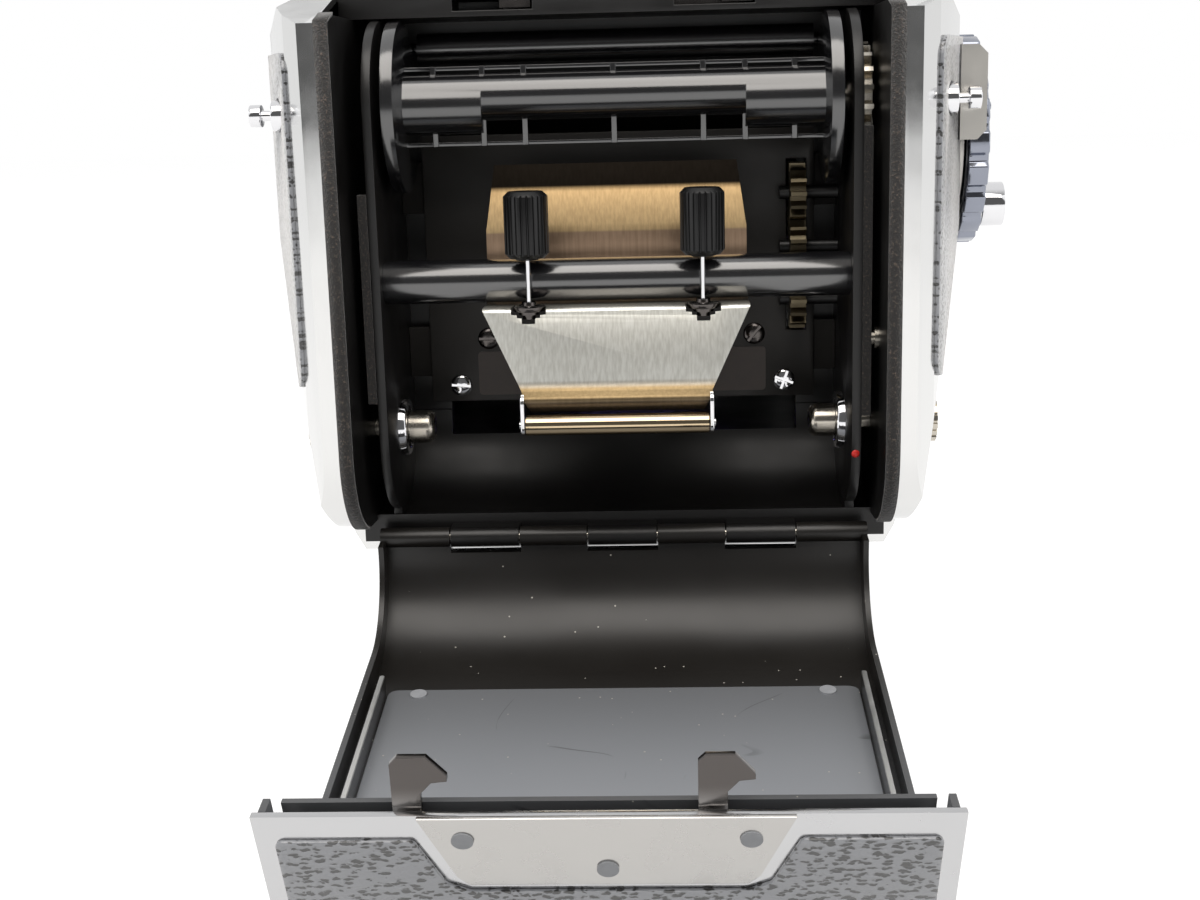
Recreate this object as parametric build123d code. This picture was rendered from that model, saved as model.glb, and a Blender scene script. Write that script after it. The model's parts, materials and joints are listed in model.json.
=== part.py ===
"""Medium format single-lens reflex film camera, seen with its back door let down.

Frame: millimetres, +Z up, +Y towards the lens, +X to the right of someone standing behind
the camera. The origin is the mouth of the tripod socket in the base, on the centre line.
Every piece is modelled where it stands with the door open and the finder hood folded.
"""
from build123d import *
import os
from math import atan2, cos, degrees, radians, sin, sqrt, tan

# General sheet, wall and running clearances
sheet = 1.0                 # stainless sheet of the covers
skin = 0.5                  # leather covering, proud of the cover that it lies on
fit_gap = 0.05              # radial clearance of a shaft that turns in a hole
side_gap = 0.3              # room between pieces that move past each other

# Body envelope
core_half_width = 40.0      # casting, top plate, base plate and front plate
shell_half_width = 50.5     # outside of the polished side shells
rear_rim_y = -48.0          # rear edge of the side shells
front_y = 45.0              # front face of the body
body_top_z = 83.3           # top face of the body
base_thickness = 1.2
top_plate_thickness = 3.6
front_plate_thickness = 1.5
shell_bulge = shell_half_width - core_half_width
rim_flat_half_width = core_half_width + 0.21 * shell_bulge     # flat lip round the opening
rim_shoulder_half_width = core_half_width + 0.524 * shell_bulge
rim_shoulder_y = -42.0
facet_end_y = -28.5
front_corner = 7.0          # plan chamfer of the shells at the front
shoulder_drop = 5.3         # shells fall away this much at the top edge
shoulder_in = 5.0
flank_z = 48.0              # below this height the shells taper in
waist_z = 27.0
waist_half_width = core_half_width + 0.648 * shell_bulge
waist_low_z = 10.5
waist_low_half_width = core_half_width + 0.352 * shell_bulge
leather_top_z = 75.0
leather_front_y = 36.0
leather_corner = 3.0

# Film chamber casting
wall = 2.0                  # side wall of the casting
wall_rear_y = -47.7
gate_y = -14.0              # film plane, rear face of the gate wall
gate_wall = 2.0
gate_opening = 56.0         # picture is 56 mm square
lens_axis_z = 42.5
ledge_y = -31.9             # rear edge of the chamber floor
ledge_z = 4.6

# Spools and the plates that carry them
spool_y = -28.0
supply_z = 18.5
take_up_z = 66.9
spool_length = 65.5
spool_flange_radius = 12.5
spool_flange = 1.8
spool_core_radius = 3.45
spool_core_rise = 1.3       # the core tube lies this far off the spool's axis
spool_web_reach = 5.8
spool_web = 1.0
spool_rail = 0.6            # left along the outer edge of each web
spool_rib = 0.8
spool_rib_depth = 2.0
spool_rib_x = 13.2
spool_end_rib_x = 26.6
spool_end_radius = 4.0
spool_end_length = 11.6
spool_bore_radius = 2.6
spool_bore_depth = 6.0
plate_inner_x = 34.0
plate = 1.4
plate_top_radius = 12.6
chamber_radius = 13.6
felt = 1.3
felt_depth = 1.3
felt_low_in = 3.0           # ends of the strips, from the spools' axes
felt_high_in = 4.0
left_felt_low_in = 6.0
left_felt_high_in = 12.0
idler_reach = 4.0           # length of the idler pin in the take-up spool
idler_collar_radius = 4.0
idler_collar_gap = 0.4

# Guide rod with its spring plate, roller and adjusters
rod_y = -36.0
rod_z = 41.8
rod_radius = 3.2
rod_screw_radius = 3.0
rod_screw_length = 1.6
adjuster_x = 12.6
adjuster_y = -40.0
adjuster_radius = 3.2
adjuster_height = 9.5
adjuster_lift = 0.4         # knob underside above the rod
stem_radius = 0.4
nut_flange_radius = 2.3
nut_radius = 1.7
nut_height = 1.2
nut_flange = 0.8
knurl_count = 24
spring_sheet = 0.5
spring_half_width = 19.3
spring_top_half_width = 18.0
spring_foot_half_width = 13.8
spring_top_y = -29.0
spring_top_z = 58.0
spring_bend_y = -31.6
spring_lip_y = -41.2
tension_roller_y = -45.4
tension_roller_z = 21.9
tension_roller_radius = 1.5
tension_roller_half_length = 13.1
roller_pin_radius = 0.5
roller_ear = 0.6

# Pressure plate, its labels, screws and the counter gears behind it
pressure_y = -18.0
pressure = 2.0
pressure_half_width = 30.5
pressure_low_z = 20.5
pressure_high_z = 62.5
pressure_screw_places = [(21.1, 30.6), (25.8, 23.1)]
pressure_ear = 8.0          # tabs that reach the two spool plates
pressure_low_ear_in = 4.0
pressure_high_ear_in = 12.0
screw_head_radius = 1.7
screw_head = 0.7
screw_slot = 0.4
counter_gear_x = 26.5
counter_gear_y = -19.0
counter_gear_width = 2.4
counter_gear_teeth = 14
counter_gear_radius = 4.1
counter_gear_spacing = 8.2
counter_gear_top_z = 52.6
arbor_radius = 1.0
arbor_end = 1.5             # pin left proud of the gear
film_roller_y = -16.6
film_roller_z = 75.6
film_roller_radius = 2.4
film_roller_half_length = 30.3

# Door, described shut and then let down about its hinge
door_open_angle = 99.1
hinge_y = -34.7
hinge_z = 2.5
hinge_pin_radius = 0.75
knuckle_radius = 1.5
knuckle_length = 10.4
knuckle_spacing = 21.0
door_plate_y = -50.0        # inner face of the liner when the door is shut
door_bend_radius = 15.3     # inner face of the liner round the supply spool
liner = 0.8
door_half_width = 37.0
door_flange_depth = 3.5
cover_half_width = 37.7
cover_front_y = -30.0
cover_slope = 15.0
cover_back_fillet = 3.0
trap_gap = 1.6              # groove between the cover and the light trap wall
trap_half_width = 34.9
rib_half_width = 34.7
rib = 0.6
rib_height = 3.3
liner_rivet_x = 29.4
liner_rivet_rise = 6.2      # above the start of the bend
rivet_radius = 1.2
rivet_head = 0.4
latch_plate_half_width = 20.0
latch_plate_back_half_width = 16.4
latch_plate_depth = 10.7
latch_plate = 0.5
latch_plate_chamfer = 1.3
latch_plate_edge = 1.2      # steel between the latch plate and the leather
latch_rivet_x = 15.3
latch_rivet_in = 3.3        # two outer rivets, from the lid's front edge
latch_mid_rivet_in = 8.0
cover_border = 2.2          # steel left bare at the sides of the lid's leather
cover_front_border = 3.5
cover_leather_corner = 0.9
hook_left_x = -21.1
hook_right_x = 11.3
hook_stem_width = 3.1
hook_head_width = 6.0
hook_height = 6.2
hook_nose = 3.1             # height of the slanting nose
hook_tip = 0.8
hook_root = 1.2
hook_thickness = 0.9

# Controls on the sides
wind_y = -15.6
wind_z = 59.9
wind_gear_teeth = 18
wind_gear_width = 1.6
wind_gear_play = 0.12       # taken off each gear's pitch radius so that the pair runs free
wind_shaft_radius = 2.5
wind_shaft_seat = 0.8       # depth of the shaft's seat in the knob
wind_base_radius = 13.0
wind_base_height = 1.0
wind_knob_radius = 15.8
wind_knob_height = 3.0
wind_knob_flutes = 20
wind_knob_rim = 2.2         # left round the well in the knob's face
guard_half_height = 6.7     # flat guard behind the wind knob
guard_z = 67.1
guard_reach_x = shell_half_width + 3.3
guard_inner_x = shell_half_width - 0.5
guard_thickness = 1.5
guard_corner = 1.3
guard_foot = 0.4
guard_foot_low_z = 61.4
guard_foot_width = 3.5
drive_shaft_radius = 1.5
drive_reach = 5.0           # length of the drive shaft in the take-up spool
crank_pivot_offset = 5.0    # hinge of the crank behind the knob's centre
crank_length = 15.0
crank_width = 6.0
crank_thickness = 1.6
crank_ear = 1.4             # width, and radius round the hinge pin
crank_grip_radius = 3.4
crank_grip_height = 3.4
supply_pin_radius = 1.6
supply_pin_pull = 4.0
supply_nose_round = 1.2
supply_bush_radius = 4.2
supply_bush = 1.1
supply_knob_radius = 3.6
supply_knob_length = 1.8
lug_y = -36.0
lug_z = 66.3
lug_plate_radius = 2.2
lug_plate = 1.3             # proud of the shell at its middle
lug_stud_radius = 0.75
lug_stud_length = 1.6
lug_head_radius = 1.6
lug_head = 1.7
reset_pin_y = -37.5
reset_pin_z = 32.5
reset_pin_radius = 1.1
reset_pin_travel = 0.8
reset_ring = 0.6            # width of the ring and its height round the pin

# Base
socket_radius = 2.55        # minor radius of the 1/4 inch tripod thread
tripod_bush_radius = 7.0
tripod_bush_length = 6.5

# Mirror box, finder screen and mirror
mirror_box_half_width = 31.5
mirror_box_wall = 1.2
mirror_box_low_z = 12.0
mirror_half_width = 28.0
mirror_length = 48.0
mirror_hinge_y = -7.5
mirror_thickness = 1.6
mirror_hinge_radius = 1.2
mirror_angle = 45.0
screen_thickness = 1.8
screen_half = 27.0
finder_y = 15.3             # centre of the finder hood, front to back

# Folded finder hood
hood_frame_half = 29.5
hood_frame_wall = 1.8
hood_ear = 2.0              # width of the lid hinge's ears
hood_ear_radius = 1.2
lid_lip_half_width = 8.0
lid_lip = 0.8
leaf = 0.9
leaf_pin_radius = 0.8
leaf_gap = 0.45             # room between leaves that lie on each other
magnifier_radius = hood_frame_half / 2.95
magnifier_frame = 2.4
magnifier_rim = 1.5
magnifier_ear = 1.0
magnifier_pin_radius = 0.4
magnifier_half_height = 0.5
magnifier_start = hood_frame_half + 4.0     # magnifier's hinge, from the hinge of the front lid

# Lens and front controls
barrel_radius = 26.5
barrel_wall = 2.0
barrel_flange = 1.6         # keeps the focus ring on
mount_radius = barrel_radius + 4.5
mount_height = 2.0
mount_bore_radius = barrel_radius - 2.5
focus_radius = barrel_radius + 3.0
focus_height = 13.0
focus_grip_count = 40
aperture_radius = barrel_radius + 1.5
aperture_height = 6.0
front_cell_radius = barrel_radius - 0.5
front_cell_height = 9.0
front_glass_radius = barrel_radius - 9.5
rear_glass_radius = barrel_radius - 13.5
sleeve_wall = 2.2
sleeve_shoulder = 1.2
sleeve_start = 1.0          # back end of the sleeve in front of the mount
neck_step = 1.0             # the aperture ring's seat is this much smaller
glass_thickness = 4.0
rear_bulge = 1.5            # height of each glass's dome
front_bulge = 2.0
speed_dial_radius = 9.0
speed_dial_height = 5.0
speed_dial_y = 8.0
speed_dial_z = 52.0
speed_dial_steps = 24
release_x = core_half_width - 4.0
release_z = 9.0
release_radius = 3.6
release_overhang = 0.8      # of the button's cap round its shank
release_travel = 3.0
release_reach = 3.5
latch_bar_travel = 2.5
latch_bar = 1.2
latch_finger = 2.0
latch_finger_depth = 1.3
latch_room = 0.9           # between the lid's front edge and a latch finger
latch_tab = 6.0
latch_tab_height = 1.6
hood_sill = 2.6             # hinge line of the lower leaves above the top plate
speed_shaft_radius = 2.0


def block(x0, x1, y0, y1, z0, z1):
    """A box given by its lowest and highest coordinates."""
    size = (x1 - x0, y1 - y0, z1 - z0)
    return Pos((x0 + x1) / 2, (y0 + y1) / 2, (z0 + z1) / 2) * Box(*size)


def rod_along_x(radius, x0, x1, y, z):
    """A cylinder from x0 to x1."""
    return Pos((x0 + x1) / 2, y, z) * Rot(0, 90, 0) * Cylinder(radius, abs(x1 - x0))


def rod_along_y(radius, y0, y1, x, z):
    """A cylinder from y0 to y1."""
    return Pos(x, (y0 + y1) / 2, z) * Rot(90, 0, 0) * Cylinder(radius, abs(y1 - y0))


def rod_along_z(radius, z0, z1, x, y):
    """A cylinder from z0 to z1."""
    return Pos(x, y, (z0 + z1) / 2) * Cylinder(radius, abs(z1 - z0))


def side_profile(outline, x0, x1):
    """A closed outline of (y, z) points carried from x0 to x1."""
    face = make_face(Polyline(*outline, close=True))
    return extrude(Plane.YZ.offset(x0) * face, amount=x1 - x0)


def mirror_x(piece):
    return mirror(piece, about=Plane.YZ)


def gear(radius, teeth, width, x, y, z, turn=0.0):
    """A spur gear on an axis along X, with plain trapezoid teeth, from x to x + width."""
    pitch = 360 / teeth
    depth = radius * 4.5 / teeth
    points = []
    for tooth in range(teeth):
        for share, r in ((-0.27, -0.55), (-0.13, 0.45), (0.13, 0.45), (0.27, -0.55)):
            angle = radians(turn + (tooth + share) * pitch)
            reach = radius + r * depth
            points.append((y + reach * cos(angle), z + reach * sin(angle)))
    return side_profile(points, x, x + width)


def knurled_disc(radius, length, count, depth):
    """An upright knob from z 0 to length with grooves along its side."""
    points = []
    for groove in range(count):
        for share, cut in ((-0.28, 0), (0.28, 0), (0.4, depth), (0.6, depth)):
            angle = radians((groove + share) * 360 / count)
            points.append(((radius - cut) * cos(angle), (radius - cut) * sin(angle)))
    return extrude(make_face(Polyline(*points, close=True)), amount=length)


# Body covers

def plan_outline(inset):
    """Outline of the right half of the body seen from above, drawn in by inset."""
    points = [(0, rear_rim_y), (rim_flat_half_width, rear_rim_y),
              (rim_shoulder_half_width, rim_shoulder_y), (shell_half_width, facet_end_y),
              (shell_half_width, front_y - front_corner),
              (shell_half_width - front_corner, front_y), (0, front_y)]
    return offset(make_face(Polyline(*points, close=True)), -inset, kind=Kind.INTERSECTION)


def back_outline(inset):
    """Outline of the right half of the body seen from behind, drawn in by inset."""
    points = [(0, 0), (core_half_width, 0), (core_half_width + 1.5, base_thickness + 1.5),
              (waist_low_half_width, waist_low_z),
              (waist_half_width, waist_z), (shell_half_width, flank_z),
              (shell_half_width, body_top_z - shoulder_drop),
              (shell_half_width - shoulder_in, body_top_z), (0, body_top_z)]
    return offset(make_face(Polyline(*points, close=True)), -inset, kind=Kind.INTERSECTION)


def side_outline(inset):
    """Outline of the body seen from its side, round the supply spool at the back."""
    bend_y = hinge_y
    bend_z = hinge_z + door_bend_radius
    radius = bend_y - wall_rear_y
    top_back_z = body_top_z - (cover_front_y - wall_rear_y) * tan(radians(cover_slope))
    low = ledge_z
    corner = Line((ledge_y, 0), (ledge_y, low))
    floor_run = Line((ledge_y, low), (bend_y, bend_z - radius))
    bend = CenterArc((bend_y, bend_z), radius, 180, 90)
    back = Line((wall_rear_y, bend_z), (wall_rear_y, top_back_z))
    slope = Line((wall_rear_y, top_back_z), (cover_front_y, body_top_z))
    rest = Polyline((cover_front_y, body_top_z), (front_y, body_top_z), (front_y, 0), (ledge_y, 0))
    face = make_face(corner + floor_run + bend + back + slope + rest)
    return offset(face, -inset, kind=Kind.INTERSECTION)


def body_form(inset):
    """Right half of the body's outer form, drawn in by inset on every side."""
    plan = extrude(plan_outline(inset), amount=body_top_z)
    back = extrude(Plane.XZ * back_outline(inset), amount=2 * front_y, both=True)
    side = extrude(Plane.YZ * side_outline(inset), amount=shell_half_width + 10)
    return plan & back & side


def knob_seat(radius):
    """Space round the wind shaft on the right side, from the casting outwards."""
    return rod_along_x(radius, core_half_width - wall - 1, shell_half_width + 10, wind_y, wind_z)


def pin_space(radius):
    """Space round a sprung supply pin on the right side."""
    return rod_along_x(radius, plate_inner_x - 1, shell_half_width + 10, spool_y, supply_z)


def right_shell():
    hollow = body_form(0) - body_form(sheet)
    shell = hollow & block(core_half_width, shell_half_width + 1, -80, 80, -10, 100)
    shell -= knob_seat(wind_shaft_radius + fit_gap)
    shell -= pin_space(supply_pin_radius + fit_gap)
    return shell


def left_shell():
    hollow = body_form(0) - body_form(sheet)
    shell = hollow & block(core_half_width, shell_half_width + 1, -80, 80, -10, 100)
    shell = mirror_x(shell - pin_space(supply_pin_radius + fit_gap))
    return shell - speed_shaft_space()


def side_leather():
    """Leather of the right side: the flat and the facet behind it."""
    band = body_form(-skin) - body_form(0)
    length = leather_front_y - rim_shoulder_y
    height = leather_top_z - waist_z
    middle_y = (leather_front_y + rim_shoulder_y) / 2
    patch = Plane.YZ * Pos(middle_y, (leather_top_z + waist_z) / 2) * RectangleRounded(
        length, height, leather_corner)
    reach = rim_shoulder_half_width
    return band & (Pos(reach, 0, 0) * extrude(patch, amount=shell_half_width))


def right_leather():
    return side_leather() - knob_seat(wind_base_radius + side_gap) - lug_space(side_gap)


def left_leather():
    return mirror_x(side_leather() - lug_space(side_gap)) - speed_shaft_space()


def speed_shaft_space():
    return rod_along_x(speed_shaft_radius + fit_gap, -80, -core_half_width, speed_dial_y,
                       speed_dial_z)


def body_leathers():
    """Leather of both sides and of the front plate."""
    return Compound(children=[right_leather(), left_leather(), *front_leathers()])


def base_plate():
    hole = rod_along_z(tripod_bush_radius, -1, base_thickness + 1, 0, 0)
    return block(-core_half_width, core_half_width, ledge_y, front_y, 0, base_thickness) - hole


def tripod_bush():
    """Threaded bush, drawn with a plain bore of the thread's inner size."""
    body = rod_along_z(tripod_bush_radius, 0, base_thickness, 0, 0)
    body += rod_along_z(tripod_bush_radius + 2, base_thickness, tripod_bush_length, 0, 0)
    return body - rod_along_z(socket_radius, -1, tripod_bush_length - 1, 0, 0)


def chamber_casting():
    """Side walls, film gate and the floor that curves round the supply spool."""
    outside = block(-core_half_width, core_half_width, wall_rear_y, gate_y + gate_wall,
                    base_thickness, body_top_z)
    inner = core_half_width - wall
    outside -= block(-inner, inner, wall_rear_y - 1, gate_y, -1, body_top_z + 1)
    side = extrude(Plane.YZ * side_outline(0), amount=core_half_width + 1, both=True)
    outside &= side
    floor = block(-inner, inner, ledge_y, gate_y, base_thickness, supply_z)
    floor -= rod_along_x(chamber_radius, -inner, inner, spool_y, supply_z)
    half = gate_opening / 2
    window = block(-half, half, gate_y - 1, gate_y + gate_wall + 1, lens_axis_z - half,
                   lens_axis_z + half)
    casting = outside + floor - window
    casting -= block(-core_half_width - 1, core_half_width + 1, cover_front_y - 20,
                     gate_y + gate_wall + 1, body_top_z - top_plate_thickness, body_top_z + 1)
    casting -= knob_seat(wind_shaft_radius + fit_gap)
    inner = core_half_width - wall
    casting -= rod_along_x(wind_gear_radius() + 1.5, plate_inner_x + plate, inner, wind_y, wind_z)
    pins = pin_space(supply_pin_radius + fit_gap)
    casting -= pins + mirror_x(pins)
    return casting


def spool_plate():
    """Right inner plate that carries both spools, round at its top."""
    low = base_thickness + supply_z - chamber_radius
    plain = block(plate_inner_x, plate_inner_x + plate, spool_y - plate_top_radius, gate_y,
                  supply_z, take_up_z)
    foot = block(plate_inner_x, plate_inner_x + plate, ledge_y, gate_y, ledge_z, supply_z)
    heel = rod_along_x(plate_top_radius, plate_inner_x, plate_inner_x + plate, spool_y, supply_z)
    foot = foot & rod_along_x(chamber_radius, 0, plate_inner_x + plate + 1, spool_y, supply_z)
    head = rod_along_x(plate_top_radius, plate_inner_x, plate_inner_x + plate, spool_y, take_up_z)
    front = block(plate_inner_x, plate_inner_x + plate, spool_y, gate_y, take_up_z,
                  take_up_z + plate_top_radius)
    bush = rod_along_x(supply_bush_radius, plate_inner_x - supply_bush, plate_inner_x, spool_y,
                       supply_z)
    whole = plain + foot + heel + head + front + bush
    whole -= rod_along_x(spool_bore_radius, 0, core_half_width, spool_y, supply_z)
    return whole & block(0, core_half_width, -80, gate_y, low - 1, body_top_z)


def right_spool_plate():
    """Right plate with the take-up shaft's bearing and the counter gears' pins."""
    whole = spool_plate() + counter_arbors()
    return whole - rod_along_x(drive_shaft_radius + fit_gap, 0, 60, spool_y, take_up_z)


def left_spool_plate():
    """Left plate with the fixed pin of the take-up spool."""
    return mirror_x(spool_plate()) + spool_idler_pin()


def spool_idler_pin():
    """Fixed pin on the left plate that carries the take-up spool's free end."""
    end = -spool_length / 2
    pin = rod_along_x(spool_bore_radius - fit_gap, -plate_inner_x, end + idler_reach, spool_y,
                      take_up_z)
    return pin + rod_along_x(idler_collar_radius, -plate_inner_x, end - idler_collar_gap, spool_y,
                             take_up_z)


def light_trap_felts():
    """Rough black strips on the outer faces of the two inner plates, along their rear edges."""
    rear = spool_y - plate_top_radius
    outer = plate_inner_x + plate
    right = block(outer, outer + felt, rear, rear + felt_depth, supply_z + felt_low_in,
                  take_up_z - felt_high_in)
    left = block(-outer - felt, -outer, rear, rear + felt_depth, supply_z + left_felt_low_in,
                 take_up_z - left_felt_high_in)
    return Compound(children=[right, left])


def guide_rod():
    return rod_along_x(rod_radius, -plate_inner_x, plate_inner_x, rod_y, rod_z)


def rod_end_screws():
    """Slotted screws that hold the guide rod from outside the two plates."""
    start = plate_inner_x + plate
    head = rod_along_x(rod_screw_radius, start, start + rod_screw_length, rod_y, rod_z)
    slot = block(start + rod_screw_length / 2, start + 5, rod_y - 5, rod_y + 5,
                 rod_z - screw_slot, rod_z + screw_slot)
    screw = head - slot
    return [screw, mirror_x(screw)]


def film_roller():
    """Idle roller above the gate that the film passes on its way to the take-up spool."""
    half = film_roller_half_length
    body = rod_along_x(film_roller_radius, -half, half, film_roller_y, film_roller_z)
    return body + rod_along_x(arbor_radius, -plate_inner_x + side_gap / 2,
                              plate_inner_x - side_gap / 2, film_roller_y, film_roller_z)


def pressure_plate():
    half = pressure_half_width
    body = block(-half, half, pressure_y, pressure_y + pressure, pressure_low_z, pressure_high_z)
    for low in (pressure_low_z + pressure_low_ear_in, pressure_high_z - pressure_high_ear_in):
        body += block(-plate_inner_x, plate_inner_x, pressure_y + pressure / 2,
                      pressure_y + pressure, low, low + pressure_ear)
    for centre in counter_gear_heights():
        body -= block(counter_gear_x - side_gap, counter_gear_x + counter_gear_width + side_gap,
                      pressure_y - 1, pressure_y + pressure + 1,
                      centre - counter_gear_radius - 1, centre + counter_gear_radius + 1)
    return body


def counter_gear_heights():
    return [counter_gear_top_z - step * counter_gear_spacing for step in range(3)]


def pressure_screws():
    """Cheese-head screws of the pressure plate."""
    places = [(sign * x, z) for x, z in pressure_screw_places for sign in (-1, 1)]
    screws = []
    for x, z in places:
        head = rod_along_y(screw_head_radius, pressure_y - screw_head, pressure_y, x, z)
        head -= block(x - 5, x + 5, pressure_y - 5, pressure_y - screw_head / 2,
                      z - screw_slot, z + screw_slot)
        screws.append(head)
    return screws


def chamber_screws():
    return Compound(children=[*pressure_screws(), *rod_end_screws()])


def counter_gear(step):
    """One gear of the film counter's train."""
    z = counter_gear_heights()[step]
    turn = step * 180 / counter_gear_teeth
    wheel = gear(counter_gear_radius, counter_gear_teeth, counter_gear_width, counter_gear_x,
                 counter_gear_y, z, turn)
    return wheel - rod_along_x(arbor_radius + fit_gap, 0, core_half_width, counter_gear_y, z)


def counter_arbors():
    """Pins on the right plate that the counter gears turn on."""
    arbors = None
    for z in counter_gear_heights():
        arbor = rod_along_x(arbor_radius, counter_gear_x - arbor_end, plate_inner_x + plate / 2,
                            counter_gear_y, z)
        arbors = arbor if arbors is None else arbors + arbor
    return arbors


# Spools and their drive

def take_up_spool():
    """Plastic film spool: flanges, a core with thicker ends, and webs with windows and ribs."""
    half = spool_length / 2
    inner = half - spool_flange
    end_x = inner - spool_end_length
    spool = rod_along_x(spool_core_radius, -inner, inner, spool_y, take_up_z + spool_core_rise)
    for sign in (-1, 1):
        spool += rod_along_x(spool_flange_radius, sign * inner, sign * half, spool_y, take_up_z)
        spool += rod_along_x(spool_end_radius, sign * end_x, sign * inner, spool_y, take_up_z)
    web = block(-inner, inner, spool_y - spool_web / 2, spool_y + spool_web / 2,
                take_up_z - spool_web_reach, take_up_z + spool_web_reach)
    window = spool_web_reach - spool_rail
    ribs = [0.0]
    for x in (spool_rib_x, end_x, spool_end_rib_x):
        ribs += [-x, x]
    edges = [-inner - spool_rib / 2] + sorted(ribs) + [inner + spool_rib / 2]
    for left, right in zip(edges, edges[1:]):
        web -= block(left + spool_rib / 2, right - spool_rib / 2, spool_y - spool_web,
                     spool_y + spool_web, take_up_z - window, take_up_z + window)
    for x in ribs:
        web += block(x - spool_rib / 2, x + spool_rib / 2, spool_y - spool_rib_depth / 2,
                     spool_y + spool_rib_depth / 2, take_up_z - spool_web_reach,
                     take_up_z + spool_web_reach)
    spool += web
    for sign in (-1, 1):
        spool -= rod_along_x(spool_bore_radius, sign * (half - spool_bore_depth),
                             sign * (half + spool_flange), spool_y, take_up_z)
    return spool


def take_up_drive():
    """Shaft and gear that turn the take-up spool from the right plate."""
    start = spool_length / 2 - drive_reach
    shaft = rod_along_x(spool_bore_radius - fit_gap, start, plate_inner_x - side_gap,
                        spool_y, take_up_z)
    shaft += rod_along_x(drive_shaft_radius, start, plate_inner_x + plate + side_gap,
                         spool_y, take_up_z)
    return shaft + take_up_gear()


def take_up_gear():
    start = plate_inner_x + plate + side_gap
    return gear(wind_gear_radius(), wind_gear_teeth, wind_gear_width, start, spool_y, take_up_z,
                wind_line_angle())


def wind_distance():
    return sqrt((wind_y - spool_y) ** 2 + (wind_z - take_up_z) ** 2)


def wind_gear_radius():
    return wind_distance() / 2 - wind_gear_play


def wind_line_angle():
    """Angle of the line from the take-up axis to the wind axis, about X from +Y."""
    return degrees(atan2(wind_z - take_up_z, wind_y - spool_y))


def wind_gear():
    """Gear on the wind shaft, its gaps facing the take-up gear's teeth."""
    start = plate_inner_x + plate + side_gap
    turn = wind_line_angle() + 180 + 180 / wind_gear_teeth
    return gear(wind_gear_radius(), wind_gear_teeth, wind_gear_width, start, wind_y, wind_z, turn)


def wind_drive():
    """Wind shaft with its gear, up to its seat in the knob."""
    start = plate_inner_x + plate + side_gap
    shaft = rod_along_x(wind_shaft_radius, start, wind_knob_x() + wind_shaft_seat, wind_y, wind_z)
    return shaft + wind_gear()


def supply_pin():
    """Right spool pin: domed nose, shaft and pull knob."""
    nose_tip = spool_length / 2 - supply_pin_pull
    nose_end = plate_inner_x - supply_bush
    pin = rod_along_x(spool_bore_radius - fit_gap, nose_tip, nose_end, spool_y, supply_z)
    nose = min(supply_nose_round, (nose_end - nose_tip) / 2)
    pin = fillet(pin.edges().filter_by(GeomType.CIRCLE).sort_by(Axis.X)[0], nose)
    pin += rod_along_x(supply_pin_radius, nose_end, supply_knob_x() + 0.5, spool_y, supply_z)
    return pin + supply_knob()


def left_supply_pin():
    return mirror_x(supply_pin())


def supply_knob_x():
    """Inner face of a pull knob, where the shell is drawn in beside the supply spool."""
    low = (waist_low_z, waist_low_half_width)
    high = (waist_z, waist_half_width)
    top = supply_z + supply_knob_radius
    share = (top - low[0]) / (high[0] - low[0])
    return low[1] + share * (high[1] - low[1]) + side_gap


def supply_knob():
    """Small pull knob on the right side, below the leather."""
    start = supply_knob_x()
    knob = Rot(0, 90, 0) * knurled_disc(supply_knob_radius, supply_knob_length, 18, 0.3)
    return Pos(start, spool_y, supply_z) * knob


def wind_face_x():
    """Outer face of the leather, on which the wind knob's base sits."""
    return shell_half_width


def wind_knob_x():
    return wind_face_x() + wind_base_height + side_gap


def wind_base():
    """Polished seat ring fixed to the shell under the wind knob, with the guard behind it."""
    start = wind_face_x()
    ring = rod_along_x(wind_base_radius, start, start + wind_base_height, wind_y, wind_z)
    ring -= rod_along_x(wind_shaft_radius + fit_gap, 0, shell_half_width + shell_half_width,
                        wind_y, wind_z)
    return ring + wind_guard()


def wind_guard():
    """Flat plate with cut corners that stands behind the wind knob, on a foot from its seat."""
    front = wind_y - wind_knob_radius - side_gap
    rear = front - guard_thickness
    low, high = guard_z - guard_half_height, guard_z + guard_half_height
    outline = [(guard_inner_x, low), (guard_reach_x - guard_corner, low),
               (guard_reach_x, low + guard_corner), (guard_reach_x, high - guard_corner),
               (guard_reach_x - guard_corner, high), (guard_inner_x, high)]
    face = Plane.XZ.offset(-front) * make_face(Polyline(*outline, close=True))
    top = wind_face_x() + wind_base_height
    foot = block(top - guard_foot, top, rear, wind_y - wind_base_radius + guard_thickness,
                 guard_foot_low_z, guard_foot_low_z + guard_foot_width)
    return extrude(face, amount=guard_thickness) + foot


def wind_knob():
    """Fluted knob with a flat well in its face for the folded crank."""
    start = wind_face_x() + wind_base_height + side_gap
    knob = Rot(0, 90, 0) * knurled_disc(wind_knob_radius, wind_knob_height, wind_knob_flutes, 0.7)
    knob = Pos(start, wind_y, wind_z) * knob
    well_x = start + wind_knob_height - crank_thickness - side_gap
    pivot_x = start + wind_knob_height
    knob -= rod_along_x(wind_knob_radius - wind_knob_rim, well_x, pivot_x + 1, wind_y, wind_z)
    knob -= rod_along_x(wind_shaft_radius, start - 1, start + wind_shaft_seat, wind_y, wind_z)
    return knob + crank_ears()


def crank_axis():
    """Centre of the crank's hinge, on an axis along Y."""
    start = wind_face_x() + wind_base_height + side_gap + wind_knob_height
    return start + crank_thickness / 2, wind_z + crank_pivot_offset


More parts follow.
